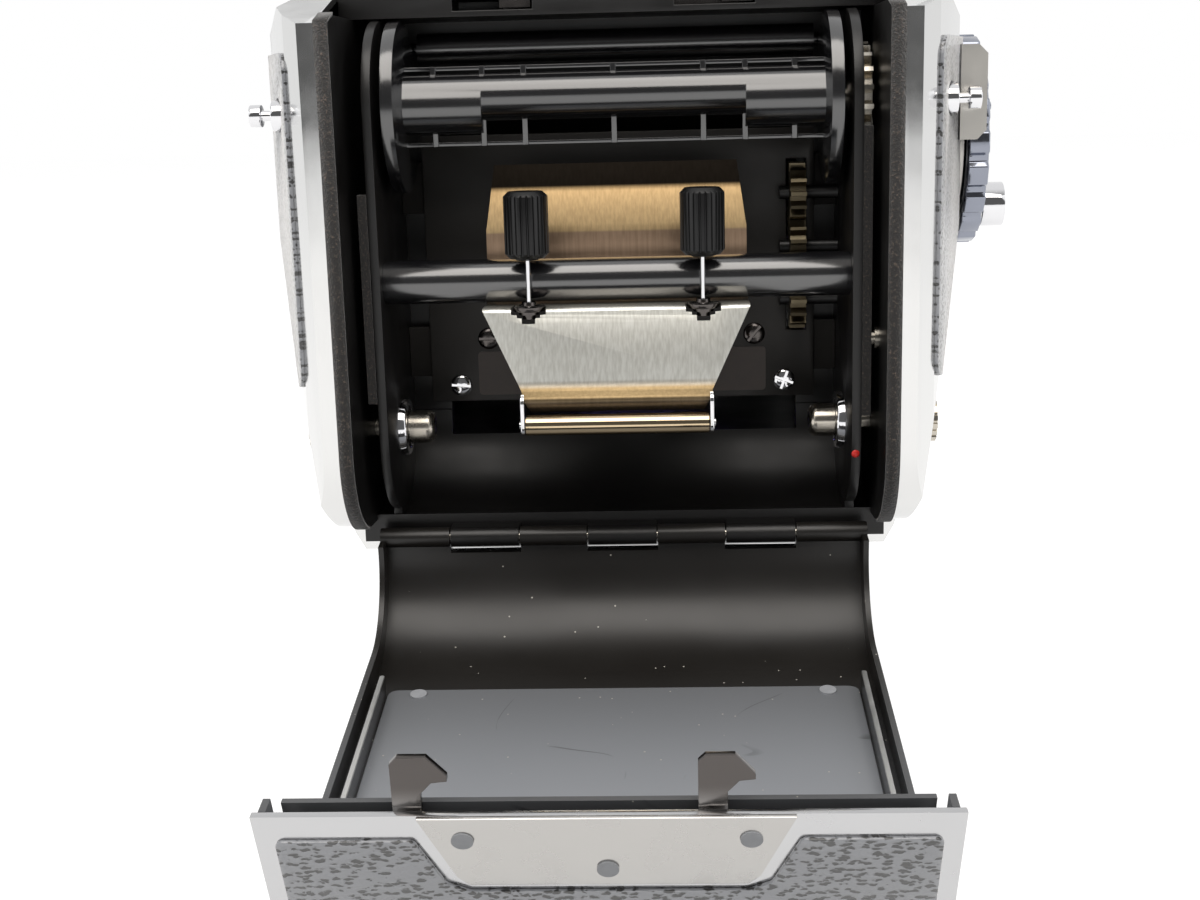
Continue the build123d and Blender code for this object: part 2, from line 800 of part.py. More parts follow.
def crank_ears():
    """Two ears on the knob that hold the crank's hinge pin."""
    x, z = crank_axis()
    well_x = wind_face_x() + wind_base_height + wind_knob_height - crank_thickness
    ears = None
    for sign in (-1, 1):
        inner = wind_y + sign * (crank_width / 2 + side_gap)
        outer = inner + sign * crank_ear
        low, high = sorted((inner, outer))
        ear = block(well_x - 0.5, x, low, high, z - crank_ear, z + crank_ear)
        ear += rod_along_y(crank_ear, low, high, x, z)
        ears = ear if ears is None else ears + ear
    return ears


def crank_arm():
    """Folding crank, lying across the knob with its hinge pin."""
    x, z = crank_axis()
    low_x = x - crank_thickness / 2
    arm = block(low_x, low_x + crank_thickness, wind_y - crank_width / 2,
                wind_y + crank_width / 2, z - crank_length, z)
    arm += rod_along_y(crank_thickness / 2, wind_y - crank_width / 2, wind_y + crank_width / 2,
                       x, z)
    arm += rod_along_x(crank_width / 2, low_x, low_x + crank_thickness, wind_y, z - crank_length)
    return arm


def wind_crank():
    """Crank arm with the grip at its end."""
    x, z = crank_axis()
    start = x + crank_thickness / 2
    grip = rod_along_x(crank_grip_radius, start, start + crank_grip_height, wind_y,
                       z - crank_length)
    return crank_arm() + grip


def lug_space(gap):
    return rod_along_x(lug_plate_radius + gap, 0, 80, lug_y, lug_z)


def lug_seat_x():
    """Outside of the shell's rear facet at the strap lug."""
    run = facet_end_y - rim_shoulder_y
    rise = shell_half_width - rim_shoulder_half_width
    return rim_shoulder_half_width + (lug_y - rim_shoulder_y) / run * rise


def strap_lugs():
    """Round seats and headed studs for a neck strap, one on each side."""
    seat = lug_seat_x()
    face = seat + lug_plate
    plate_disc = rod_along_x(lug_plate_radius, seat - lug_plate_radius, face, lug_y, lug_z)
    plate_disc -= body_form(0)
    plate_disc = plate_disc & block(seat - lug_plate_radius, face, lug_y - lug_plate_radius,
                                    lug_y + lug_plate_radius, 0, body_top_z)
    tip = face + lug_stud_length
    stud = rod_along_x(lug_stud_radius, face, tip, lug_y, lug_z)
    head = rod_along_x(lug_head_radius, tip, tip + lug_head, lug_y, lug_z)
    lug = plate_disc + stud + head
    return Compound(children=[lug, mirror_x(lug)])


def reset_pin():
    """Ringed plunger that the shut door presses to reset the film counter."""
    start = plate_inner_x + plate
    pin = rod_along_x(reset_pin_radius, start + reset_pin_travel, core_half_width - wall,
                      reset_pin_y, reset_pin_z)
    ring_x = core_half_width - wall - reset_ring
    return pin + rod_along_x(reset_pin_radius + reset_ring, ring_x, core_half_width - wall,
                             reset_pin_y, reset_pin_z)


# Spring plate assembly on the guide rod

def spring_path():
    """Middle line of the bent spring sheet, as (y, z) points from its top to its foot."""
    under = rod_z - rod_radius - side_gap - spring_sheet / 2
    foot_y = tension_roller_y + tension_roller_radius + 0.6
    return [(spring_top_y, spring_top_z), (spring_bend_y, rod_z + 6), (spring_bend_y, under),
            (spring_lip_y, under), (foot_y, tension_roller_z + 3.4)]


def strip_along(points, thickness, half_width):
    """A sheet of even thickness along a (y, z) line, from -half_width to half_width."""
    line = Polyline(*points)
    face = make_face(offset(line, thickness / 2, kind=Kind.INTERSECTION, side=Side.BOTH))
    return extrude(Plane.YZ * face, amount=half_width, both=True)


def spring_plate():
    path = spring_path()
    sheet_body = strip_along(path, spring_sheet, spring_half_width)
    lip_y, lip_z = path[3]
    foot_y, foot_z = path[4]
    top_z = spring_top_z + 1
    outline = [(-spring_top_half_width, top_z), (-spring_half_width, rod_z),
               (-spring_half_width, lip_z - 1), (-spring_foot_half_width, foot_z - 1)]
    outline += [(-x, z) for x, z in reversed(outline)]
    mask = extrude(Plane.XZ * make_face(Polyline(*outline, close=True)), amount=80, both=True)
    sheet_body = sheet_body & mask
    for sign in (-1, 1):
        sheet_body -= rod_along_z(nut_flange_radius + side_gap, lip_z - 3, lip_z + 1,
                                  sign * adjuster_x, adjuster_y)
    ears = None
    for sign in (-1, 1):
        inner = sign * (tension_roller_half_length + side_gap / 2)
        outer = inner + sign * roller_ear
        low, high = sorted((inner, outer))
        top = foot_z
        back = tension_roller_y + 0.2
        ear = side_profile([(foot_y - spring_sheet, top), (foot_y + spring_sheet, top),
                            (foot_y + 1.0, tension_roller_z), (tension_roller_y + 1.2,
                            tension_roller_z - 1.3), (back - 1.3, tension_roller_z - 1.0),
                            (back - 1.3, tension_roller_z + 1.0)], low, high)
        ears = ear if ears is None else ears + ear
    pin = rod_along_x(roller_pin_radius, -tension_roller_half_length - roller_ear,
                      tension_roller_half_length + roller_ear, tension_roller_y, tension_roller_z)
    return sheet_body + ears + pin


def tension_roller():
    """Polished roller that bears on the film roll."""
    half = tension_roller_half_length
    tube = rod_along_x(tension_roller_radius, -half, half, tension_roller_y, tension_roller_z)
    return tube - rod_along_x(roller_pin_radius + fit_gap, -half - 1, half + 1,
                              tension_roller_y, tension_roller_z)


def adjuster(sign):
    """Knurled knob with its thin stem behind the rod and a flanged nut at the spring plate."""
    x = sign * adjuster_x
    knob_low = rod_z + rod_radius + adjuster_lift
    knob = knurled_disc(adjuster_radius, adjuster_height, knurl_count, 0.25)
    knob = knob & Pos(0, 0, adjuster_height / 2) * chamfer(
        Cylinder(adjuster_radius, adjuster_height).edges().filter_by(GeomType.CIRCLE), 0.7)
    return Pos(x, adjuster_y, knob_low) * knob + adjuster_stem(sign)


def adjuster_stem(sign):
    """Stem and nut below the knob."""
    x = sign * adjuster_x
    knob_low = rod_z + rod_radius + adjuster_lift
    lip_z = spring_path()[3][1]
    stem = rod_along_z(stem_radius, lip_z - nut_height, knob_low, x, adjuster_y)
    flange = rod_along_z(nut_flange_radius, lip_z, lip_z + nut_flange, x, adjuster_y)
    nut = rod_along_z(nut_radius, lip_z - nut_height, lip_z, x, adjuster_y)
    return stem + flange + nut


# Door

def let_down(piece):
    """Turn a piece of the shut door to where it hangs with the door open."""
    return Pos(0, hinge_y, hinge_z) * Rot(door_open_angle, 0, 0) * Pos(0, -hinge_y, -hinge_z) * piece


def door_line(depth, top_drop):
    """Shut door's side line, depth outwards from the liner's inner face, and the top lid line.

    top_drop is how far the lid line lies below the cover's outer face, measured upright.
    """
    bend_z = hinge_z + door_bend_radius
    radius = door_bend_radius + depth
    back_y = door_plate_y - depth
    slope = tan(radians(cover_slope))
    corner_z = body_top_z - top_drop - (cover_front_y - back_y) * slope
    front_z = body_top_z - top_drop
    bend = CenterArc((hinge_y, bend_z), radius, 270, -90)
    back = Line((back_y, bend_z), (back_y, corner_z))
    lid = Line((back_y, corner_z), (cover_front_y, front_z))
    return bend, back, lid


def door_region(depth, top_drop, half_width):
    """Solid behind a door line: everything from the line inwards, over half_width."""
    bend, back, lid = door_line(depth, top_drop)
    radius = door_bend_radius + depth
    start = (hinge_y, hinge_z + door_bend_radius - radius)
    end = (cover_front_y, body_top_z - top_drop)
    close = Polyline(end, (cover_front_y, start[1]), start)
    face = make_face(bend + back + lid + close)
    face = fillet(face.vertices().sort_by(Axis.X)[0:2].sort_by(Axis.Y)[-1], cover_back_fillet)
    return extrude(Plane.YZ * face, amount=half_width, both=True)


def lid_drop(distance):
    """Upright drop of a lid line that lies this far below the cover, square to it."""
    return distance / cos(radians(cover_slope))


def knuckle_centres():
    return [-knuckle_spacing, 0.0, knuckle_spacing]


def hinge_room():
    """Space of the knuckles, and everything of the door sheets past the hinge line."""
    beyond = block(-60, 60, hinge_y, hinge_y + 10, -10, hinge_z + door_bend_radius)
    return beyond + rod_along_x(knuckle_radius, -60, 60, hinge_y, hinge_z)


def hinge_notches():
    """Room in the door for the body's hinge knuckles."""
    notches = []
    for centre in knuckle_centres():
        half = knuckle_length / 2 + 0.2
        notches.append(block(centre - half, centre + half, hinge_y - 2.6, hinge_y + 3,
                             hinge_z - 4, hinge_z + 3))
    return notches


def door_shell():
    """Polished outer sheet of the door with its sloping top lid."""
    outer = liner + sheet
    shell = door_region(outer, 0, cover_half_width) - door_region(liner, lid_drop(sheet),
                                                                 cover_half_width + 1)
    trim = block(door_half_width, cover_half_width + 1, -80, 0, -10,
                 body_top_z - lid_drop(8) - (cover_front_y - door_plate_y) * tan(
                     radians(cover_slope)))
    shell -= trim + mirror_x(trim)
    for notch in hinge_notches():
        shell -= notch
    return let_down(shell - hinge_room())


def door_knuckles():
    """Knuckles of the door's leaf, between those of the body."""
    edges = [-door_half_width]
    for centre in knuckle_centres():
        edges += [centre - knuckle_length / 2 - 0.2, centre + knuckle_length / 2 + 0.2]
    edges.append(door_half_width)
    knuckles = None
    for start, end in zip(edges[0::2], edges[1::2]):
        one = rod_along_x(knuckle_radius, start, end, hinge_y, hinge_z)
        knuckles = one if knuckles is None else knuckles + one
    return knuckles - rod_along_x(hinge_pin_radius + fit_gap, -60, 60, hinge_y, hinge_z)


def door_liner():
    """Black inner plate of the door: bend, side flanges, inner ribs and light trap wall."""
    outer = door_region(liner, lid_drop(sheet), door_half_width)
    inner = door_region(0, lid_drop(sheet + trap_gap), door_half_width + 1)
    wall_low = lid_drop(sheet + trap_gap + liner)
    plate_body = door_region(liner, lid_drop(sheet + trap_gap), door_half_width)
    plate_body -= door_region(0, wall_low, door_half_width + 1)
    trap_trim = block(trap_half_width, door_half_width + 1, door_plate_y + 0.01, 0,
                      hinge_z + 60, body_top_z)
    plate_body -= trap_trim + mirror_x(trap_trim)
    side = outer & block(door_half_width - liner, door_half_width, -80, 0, -10, 100)
    side -= door_region(-door_flange_depth, wall_low, door_half_width + 1)
    ribs = inner & block(rib_half_width - rib, rib_half_width, -80, 0,
                         hinge_z + door_bend_radius + 6, 100)
    ribs &= door_region(0, wall_low, door_half_width + 1)
    ribs -= door_region(-rib_height, wall_low, door_half_width + 1)
    whole = plate_body + side + mirror_x(side) + ribs + mirror_x(ribs)
    for notch in hinge_notches():
        whole -= notch
    return let_down(whole - hinge_room()) + door_knuckles()


def door_back_leather():
    """Leather on the outside of the shut door's back."""
    low = hinge_z + door_bend_radius + 4
    high = body_top_z - 16
    outer_y = door_plate_y - liner - sheet
    body = block(-door_half_width + 3, door_half_width - 3, outer_y - skin, outer_y, low, high)
    return let_down(body)


def lid_piece(outline, low, high, rounding=0.0):
    """A flat piece on the door's sloping lid, from an (x, distance from the front edge) outline.

    low and high are heights above the lid's outer face. Corners off the middle line are rounded.
    """
    face = make_face(Polyline(*[(x, -distance) for x, distance in outline], close=True))
    if rounding:
        face = fillet([corner for corner in face.vertices() if corner.X > rounding], rounding)
    piece = Pos(0, 0, low) * extrude(face, amount=high - low)
    placed = Pos(0, cover_front_y, body_top_z) * Rot(cover_slope, 0, 0) * piece
    return let_down(placed)


def lid_length():
    """Flat run of the lid from its front edge to the start of the back bend."""
    depth = liner + sheet
    run = (cover_front_y - door_plate_y + depth) / cos(radians(cover_slope))
    return run - cover_back_fillet


def door_lid_leathers():
    """Leather on both sides of the latch plate, inside the lid's polished border."""
    outer_x = cover_half_width - cover_border
    back = lid_length() - 0.5
    corner = latch_plate_depth + latch_plate_edge
    outline = [(outer_x, cover_front_border),
               (latch_plate_half_width + latch_plate_edge / 2, cover_front_border),
               (latch_plate_back_half_width + latch_plate_edge, corner - latch_plate_chamfer),
               (latch_plate_back_half_width - latch_plate_chamfer, corner), (0, corner),
               (0, back), (outer_x, back)]
    right = lid_piece(outline, 0, skin, cover_leather_corner)
    return right + mirror_x(right)


def door_leathers():
    return Compound(children=[door_back_leather(), door_lid_leathers()])


def latch_plate_piece():
    """Tapered polished plate in the middle of the lid."""
    back = latch_plate_back_half_width
    outline = [(latch_plate_half_width, 0.0), (back, latch_plate_depth - latch_plate_chamfer),
               (back - latch_plate_chamfer, latch_plate_depth)]
    outline += [(-x, distance) for x, distance in reversed(outline)]
    return lid_piece(outline, 0, latch_plate)


def latch_rivets():
    rivets = []
    for x, distance in ((-latch_rivet_x, latch_rivet_in), (latch_rivet_x, latch_rivet_in),
                        (0.0, latch_mid_rivet_in)):
        rivet = Pos(x, -distance, latch_plate + 0.1) * Cylinder(rivet_radius, 0.2)
        placed = Pos(0, cover_front_y, body_top_z) * Rot(cover_slope, 0, 0) * rivet
        rivets.append(let_down(placed))
    return rivets


def liner_rivets():
    """Flat rivets on the liner, just above the bend."""
    rivets = []
    z = hinge_z + door_bend_radius + liner_rivet_rise
    for sign in (-1, 1):
        rivet = rod_along_y(rivet_radius, door_plate_y, door_plate_y + rivet_head,
                            sign * liner_rivet_x, z)
        rivets.append(let_down(rivet))
    return rivets


def door_rivets():
    return Compound(children=[*latch_rivets(), *liner_rivets()])


def hook_levels():
    """Lowest and highest z of the flat hooks when the door is shut."""
    top = body_top_z - lid_drop(sheet) - 0.4
    return top - hook_thickness, top


def door_hooks():
    """Two bent sheet hooks that stand out of the lid's groove, their tips to the right."""
    low, top = hook_levels()
    root_y = cover_front_y - 1.0
    throat = hook_height - hook_nose
    outline = [(0, -hook_root), (hook_stem_width, -hook_root), (hook_stem_width, throat - 1.3),
               (hook_stem_width + hook_root, throat), (hook_head_width, throat + 0.2),
               (hook_head_width, throat + hook_tip), (hook_stem_width + hook_tip, hook_height),
               (hook_tip, hook_height), (0, hook_height - hook_tip)]
    slope = tan(radians(cover_slope))
    hooks = []
    for x in (hook_left_x, hook_right_x):
        face = make_face(Polyline(*outline, close=True))
        hook = Pos(x - hook_stem_width / 2, cover_front_y, low) * extrude(face, amount=hook_thickness)
        half = hook_thickness / 2 / cos(radians(cover_slope))
        start = body_top_z - lid_drop(sheet) - half
        front_mid = start - (cover_front_y - root_y) * slope
        back_mid = start - (cover_front_y - root_y + 7) * slope
        root = side_profile([(root_y, front_mid - half), (root_y, front_mid + half),
                             (root_y - 7, back_mid + half), (root_y - 7, back_mid - half)],
                            x - hook_stem_width / 2, x + hook_stem_width / 2)
        hooks.append(let_down(hook + root))
    return Compound(children=hooks)


def body_hinge():
    """Fixed leaf under the chamber floor with three knuckles."""
    leaf_piece = None
    for centre in knuckle_centres():
        half = knuckle_length / 2
        knuckle = rod_along_x(knuckle_radius, centre - half, centre + half, hinge_y, hinge_z)
        arm_top = hinge_z + knuckle_radius
        knuckle += block(centre - half, centre + half, hinge_y, ledge_y, arm_top - 0.8, arm_top)
        leaf_piece = knuckle if leaf_piece is None else leaf_piece + knuckle
    return leaf_piece - rod_along_x(hinge_pin_radius + fit_gap, -60, 60, hinge_y, hinge_z)


def hinge_pin():
    return rod_along_x(hinge_pin_radius, -door_half_width, door_half_width, hinge_y, hinge_z)


# Top, latch and finder

def latch_finger_start(hook_x):
    """Left edge of the latch finger beside a hook, in its released place."""
    return hook_x - hook_stem_width / 2 + hook_head_width + side_gap


def latch_levels():
    low, top = hook_levels()
    return low - 0.1, top + 0.1


def top_plate():
    """Top cover plate with the finder opening and the pockets that take the door's hooks."""
    rear = cover_front_y + 0.5
    low = body_top_z - top_plate_thickness
    body = block(-core_half_width, core_half_width, rear, front_y, low, body_top_z)
    half = screen_half - 2
    body -= block(-half, half, finder_y - half, finder_y + half, low - 1, body_top_z + 1)
    bar_low, bar_top = latch_levels()
    pocket_low = bar_low - side_gap
    pocket_top = bar_top + side_gap
    for x in (hook_left_x, hook_right_x):
        left = x - hook_stem_width / 2 - 2 * side_gap
        right = latch_finger_start(x) + latch_bar_travel + latch_finger + side_gap
        body -= block(left, right, rear - 1, latch_bar_y() + latch_bar + side_gap,
                      pocket_low, pocket_top)
    body -= block(latch_bar_left() - latch_bar_travel - side_gap, latch_bar_right() + side_gap,
                  latch_bar_y() - side_gap, latch_bar_y() + latch_bar + side_gap,
                  pocket_low, pocket_top)
    body -= block(-latch_tab / 2 - latch_bar_travel - side_gap, latch_tab / 2 + side_gap,
                  latch_bar_y() - side_gap, latch_bar_y() + latch_bar + side_gap,
                  pocket_low, body_top_z + 1)
    return body


def latch_bar_y():
    """Rear face of the latch bar, in front of the shut hooks' tips."""
    return cover_front_y + hook_height + 2 * side_gap


def latch_bar_left():
    return latch_finger_start(hook_left_x)


def latch_bar_right():
    return latch_finger_start(hook_right_x) + latch_bar_travel + latch_finger


def latch_bar_piece():
    """Sliding bar with a bent finger for each hook's nose and a thumb tab above the top plate."""
    low, top = latch_levels()
    y = latch_bar_y()
    bar = block(latch_bar_left(), latch_bar_right(), y, y + latch_bar, low, top)
    finger_y = cover_front_y + latch_room
    for hook_x in (hook_left_x, hook_right_x):
        start = latch_finger_start(hook_x)
        leg = start + latch_bar_travel
        bar += block(leg, leg + latch_finger, finger_y, y, low, top)
        bar += block(start, leg, finger_y, finger_y + latch_finger_depth, low, top)
    return bar + block(-latch_tab / 2, latch_tab / 2, y, y + latch_bar, low,
                       body_top_z + latch_tab_height)


def mirror_box():
    """Black box between the film gate and the front plate, open to the lens and the finder."""
    half = mirror_box_half_width
    outer = half + mirror_box_wall
    rear = gate_y + gate_wall
    front = front_y - front_plate_thickness
    top = mirror_box_top()
    body = block(-outer, outer, rear, front, mirror_box_low_z, top)
    body -= block(-half, half, rear - 1, front + 1, mirror_box_low_z + mirror_box_wall,
                  top - mirror_box_wall)
    opening = screen_half - 2
    body -= block(-opening, opening, finder_y - opening, finder_y + opening, top - 5, top + 1)
    pins = rod_along_x(mirror_hinge_radius + fit_gap, -outer - 1, outer + 1, mirror_hinge_y,
                       mirror_hinge_z())
    return body - pins


def mirror_box_top():
    return body_top_z - top_plate_thickness - screen_thickness - side_gap / 2


def mirror_hinge_z():
    return mirror_box_top() - mirror_box_wall - mirror_thickness - 0.8


def turned_mirror(piece):
    """Place a piece of the level mirror at its angle under the finder."""
    return Pos(0, mirror_hinge_y, mirror_hinge_z()) * Rot(-mirror_angle, 0, 0) * piece


def mirror_carrier():
    """Metal plate behind the mirror with its hinge pins."""
    half = mirror_half_width + 1
    tray = block(-half, half, 0, mirror_length, -0.2, mirror_thickness - 0.4)
    reach = mirror_box_half_width + mirror_box_wall
    return turned_mirror(tray + rod_along_x(mirror_hinge_radius, -reach, reach, 0, 0))


def reflex_mirror():
    tray_low = -0.2
    glass = block(-mirror_half_width, mirror_half_width, mirror_hinge_radius + 0.6,
                  mirror_length - 0.5, mirror_thickness - 0.4, mirror_thickness + 0.8 + tray_low)
    return turned_mirror(glass)


def focusing_screen():
    low = mirror_box_top()
    return block(-screen_half, screen_half, finder_y - screen_half, finder_y + screen_half,
                 low, low + screen_thickness)


def hood_axis_reach():
    """Distance of the leaves' hinge axes from the finder's centre."""
    return hood_frame_half - hood_frame_wall - side_gap - leaf_pin_radius


def back_leaf_z():
    return body_top_z + hood_sill


def side_leaf_z():
    """Side leaves' hinge lines, above the back leaf's so that their pins pass each other."""
    return back_leaf_z() + leaf_pin_radius + side_gap


def hood_frame_top():
    return side_leaf_z() + leaf / 2 + leaf_gap + magnifier_frame - side_gap


def hood_lid_z():
    return hood_frame_top() + side_gap + leaf_pin_radius


def hood_lid_y():
    return finder_y + hood_frame_half - leaf_pin_radius


def hood_frame():
    """Square frame of the finder on the top plate, with ears for the lid's hinge."""
    half = hood_frame_half
    inner = half - hood_frame_wall
    ring = block(-half, half, finder_y - half, finder_y + half, body_top_z, hood_frame_top())
    ring -= block(-inner, inner, finder_y - inner, finder_y + inner, body_top_z - 1,
                  hood_frame_top() + 1)
    lid_y, lid_z = hood_lid_y(), hood_lid_z()
    ear = rod_along_x(hood_ear_radius, half - hood_ear, half, lid_y, lid_z)
    ear += block(half - hood_ear, half, lid_y - hood_ear_radius, lid_y + leaf_pin_radius,
                 hood_frame_top(), lid_z)
    frame = ring + ear + mirror_x(ear)
    reach = hood_axis_reach()
    bore = leaf_pin_radius / 2 + fit_gap
    frame -= rod_along_x(bore, -half - 1, half + 1, lid_y, lid_z)
    frame -= rod_along_x(bore, -half - 1, half + 1, finder_y - reach, back_leaf_z())
    side_bore = rod_along_y(bore, finder_y - half - 1, finder_y + half + 1, reach, side_leaf_z())
    return frame - side_bore - mirror_x(side_bore)


def hood_lid():
    """Front leaf of the hood, which covers the others when it is folded."""
    half = hood_frame_half - hood_ear - side_gap
    y, z = hood_lid_y(), hood_lid_z()
    rear = finder_y - hood_frame_half
    body = block(-half, half, rear, y, z - leaf / 2, z + leaf / 2)
    body += rod_along_x(leaf_pin_radius, -half, half, y, z)
    body += rod_along_x(leaf_pin_radius / 2, -hood_frame_half, hood_frame_half, y, z)
    wing_front = y - hood_ear_radius - 1.0
    wing = block(half, hood_frame_half, rear, wing_front, z - leaf / 2, z + leaf / 2)
    lip = block(-lid_lip_half_width, lid_lip_half_width, rear - lid_lip, rear, z - leaf / 2, z + leaf / 2)
    return body + wing + mirror_x(wing) + lip + magnifier_ears()


def leaf_outline(reach, depth):
    """Trapezoid leaf, its base on the hinge line and its ends cut at 45 degrees."""
    base = reach - leaf_pin_radius - 2 * side_gap
    return [(-base, 0), (base, 0), (base - depth, depth), (-base + depth, depth)]


def folded_leaf(turn, height):
    """One lower leaf of the hood, lying flat, its hinge line turned about the finder's centre."""
    reach = hood_axis_reach()
    depth = reach - 3.0
    face = make_face(Polyline(*leaf_outline(reach, depth), close=True))
    body = Pos(0, 0, -leaf / 2) * extrude(face, amount=leaf)
    base = reach - leaf_pin_radius - 2 * side_gap
    barrel = rod_along_x(leaf_pin_radius, -base, base, 0, 0)
    pin = rod_along_x(leaf_pin_radius / 2, -hood_frame_half, hood_frame_half, 0, 0)
    leaf_piece = Pos(0, -reach, 0) * (body + barrel + pin)
    return Pos(0, finder_y, height) * Rot(0, 0, turn) * leaf_piece


def hood_back_leaf():
    return folded_leaf(0, back_leaf_z())


def hood_right_leaf():
    return folded_leaf(90, side_leaf_z())


def hood_left_leaf():
    return folded_leaf(-90, side_leaf_z())


def magnifier_axis():
    """Hinge of the magnifier under the lid: its y and z."""
    return hood_lid_y() - magnifier_start, hood_lid_z() - leaf / 2 - 1.0


def magnifier_ears():
    """Ears under the lid that hold the magnifier's hinge pin."""
    y, z = magnifier_axis()
    ears = None
    for sign in (-1, 1):
        inner = magnifier_radius + magnifier_rim
        low, high = sorted((sign * inner, sign * (inner + magnifier_ear)))
        ear = block(low, high, y - magnifier_ear, y + magnifier_ear, z - magnifier_pin_radius * 1.5,
                    z + magnifier_pin_radius * 3)
        ears = ear if ears is None else ears + ear
    return ears - rod_along_x(magnifier_pin_radius + fit_gap, -hood_frame_half, hood_frame_half,
                              y, z)


def magnifier_arm():
    """Ring and arm that swing the finder magnifier out from the lid."""
    y, z = magnifier_axis()
    centre_y = y - magnifier_radius - magnifier_ear
    ring = rod_along_z(magnifier_radius, z - magnifier_half_height - 0.2,
                       z + magnifier_half_height, 0, centre_y)
    reach = magnifier_radius + magnifier_rim - side_gap
    ring += block(-reach, reach, y - 2 * magnifier_rim, y, z - magnifier_half_height,
                  z + magnifier_half_height)
    pin = magnifier_radius + magnifier_rim + magnifier_ear
    ring += rod_along_x(magnifier_pin_radius, -pin, pin, y, z)
    return ring - rod_along_z(magnifier_radius - magnifier_rim, z - 2, z + 2, 0, centre_y)


def magnifier_lens():
    y, z = magnifier_axis()
    centre_y = y - magnifier_radius - magnifier_ear
    return rod_along_z(magnifier_radius - magnifier_rim, z - 0.6, z + 0.4, 0, centre_y)


# Front and lens

def lens_axis_ring(radius, inner, y0, y1):
    """A ring about the lens axis from y0 to y1."""
    ring = rod_along_y(radius, y0, y1, 0, lens_axis_z)
    if inner > 0:
        ring -= rod_along_y(inner, y0 - 1, y1 + 1, 0, lens_axis_z)
    return ring


def front_plate():
    rear = front_y - front_plate_thickness
    body = block(-core_half_width, core_half_width, rear, front_y, base_thickness,
                 body_top_z - top_plate_thickness)
    body -= rod_along_y(mount_bore_radius, rear - 1, front_y + 1, 0, lens_axis_z)
    return body - rod_along_y(release_radius - release_overhang + fit_gap, rear - 1, front_y + 1,
                              release_x, release_z)


def front_leathers():
    """Leather on the front plate at both sides of the lens mount."""
    low = base_thickness + 3
    high = body_top_z - top_plate_thickness - 3
    patch = block(12, core_half_width - 2, front_y, front_y + skin, low, high)
    patch -= rod_along_y(mount_radius + 1.0, front_y - 1, front_y + 2, 0, lens_axis_z)
    right = patch - rod_along_y(release_radius + side_gap, front_y - 1, front_y + 2,
                                release_x, release_z)
    return [right, mirror_x(patch)]


def lens_mount():
    return lens_axis_ring(mount_radius, mount_bore_radius, front_y, front_y + mount_height)


def barrel_start():
    return front_y + mount_height


def focus_start():
    return barrel_start() + side_gap


def barrel_flange_start():
    return focus_start() + focus_height + side_gap


def lens_barrel():
    """Mount and fixed tube of the lens, with a flange that keeps the focus ring on."""
    flange = barrel_flange_start()
    bore = barrel_radius - barrel_wall
    tube = lens_axis_ring(barrel_radius, bore, barrel_start(), flange + barrel_flange)
    tube += lens_axis_ring(barrel_radius + barrel_flange, bore, flange, flange + barrel_flange)
    return tube + lens_mount()


def focus_ring():
    """Focusing ring with a ribbed grip."""
    grip = knurled_disc(focus_radius, focus_height, focus_grip_count, 0.8)
    grip = Pos(0, focus_start() + focus_height, lens_axis_z) * Rot(90, 0, 0) * grip
    return grip - rod_along_y(barrel_radius + fit_gap, focus_start() - 1,
                              focus_start() + focus_height + 1, 0, lens_axis_z)


def cell_front():
    """Front of the moving sleeve's shoulder, where the aperture ring starts."""
    return barrel_flange_start() + barrel_flange + side_gap + sleeve_shoulder


def lens_sleeve():
    """Sleeve that slides in the barrel and carries the glass and the aperture ring."""
    outer = barrel_radius - barrel_wall - fit_gap
    inner = outer - sleeve_wall
    start = barrel_start() + sleeve_start
    front = cell_front()
    sleeve = lens_axis_ring(outer, inner, start, front)
    sleeve += lens_axis_ring(aperture_radius, inner, front - sleeve_shoulder, front)
    neck = outer - neck_step
    sleeve += lens_axis_ring(neck, neck - sleeve_wall, front,
                             front + aperture_height + 2 * side_gap)
    sleeve += lens_axis_ring(inner, rear_glass_radius, start, start + sleeve_wall)
    return sleeve


def aperture_ring():
    neck = barrel_radius - barrel_wall - fit_gap - neck_step
    start = cell_front() + side_gap
    grip = knurled_disc(aperture_radius, aperture_height, focus_grip_count, 0.5)
    grip = Pos(0, start + aperture_height, lens_axis_z) * Rot(90, 0, 0) * grip
    return grip - rod_along_y(neck + fit_gap, start - 1, start + aperture_height + 1, 0,
                              lens_axis_z)


def bezel_start():
    return cell_front() + aperture_height + 2 * side_gap


def front_bezel():
    """Front ring of the lens with its conical inside."""
    start = bezel_start()
    end = start + front_cell_height
    bezel = rod_along_y(front_cell_radius, start, end, 0, lens_axis_z)
    cone = Pos(0, (start + end) / 2 + 1.5, lens_axis_z) * Rot(-90, 0, 0) * Cone(
        front_glass_radius, front_cell_radius - 1.2, front_cell_height - 3)
    bezel -= cone + rod_along_y(front_glass_radius, start - 1, end, 0, lens_axis_z)
    return bezel


def lens_glass(radius, y0, y1, bulge):
    """A glass with one domed face towards the front."""
    disc = rod_along_y(radius, y0, y1, 0, lens_axis_z)
    ball_radius = (radius ** 2 + bulge ** 2) / (2 * bulge)
    ball = Pos(0, y1 + bulge - ball_radius, lens_axis_z) * Sphere(ball_radius)
    return disc + (ball & rod_along_y(radius, y1 - 0.01, y1 + bulge + 1, 0, lens_axis_z))


def front_glass():
    start = bezel_start()
    return lens_glass(front_glass_radius, start, start + glass_thickness - rear_bulge,
                      front_bulge)


def rear_glass():
    start = barrel_start() + sleeve_start
    return lens_glass(rear_glass_radius, start, start + glass_thickness - rear_bulge,
                      rear_bulge)


def lens_glasses():
    return Compound(children=[front_glass(), rear_glass()])


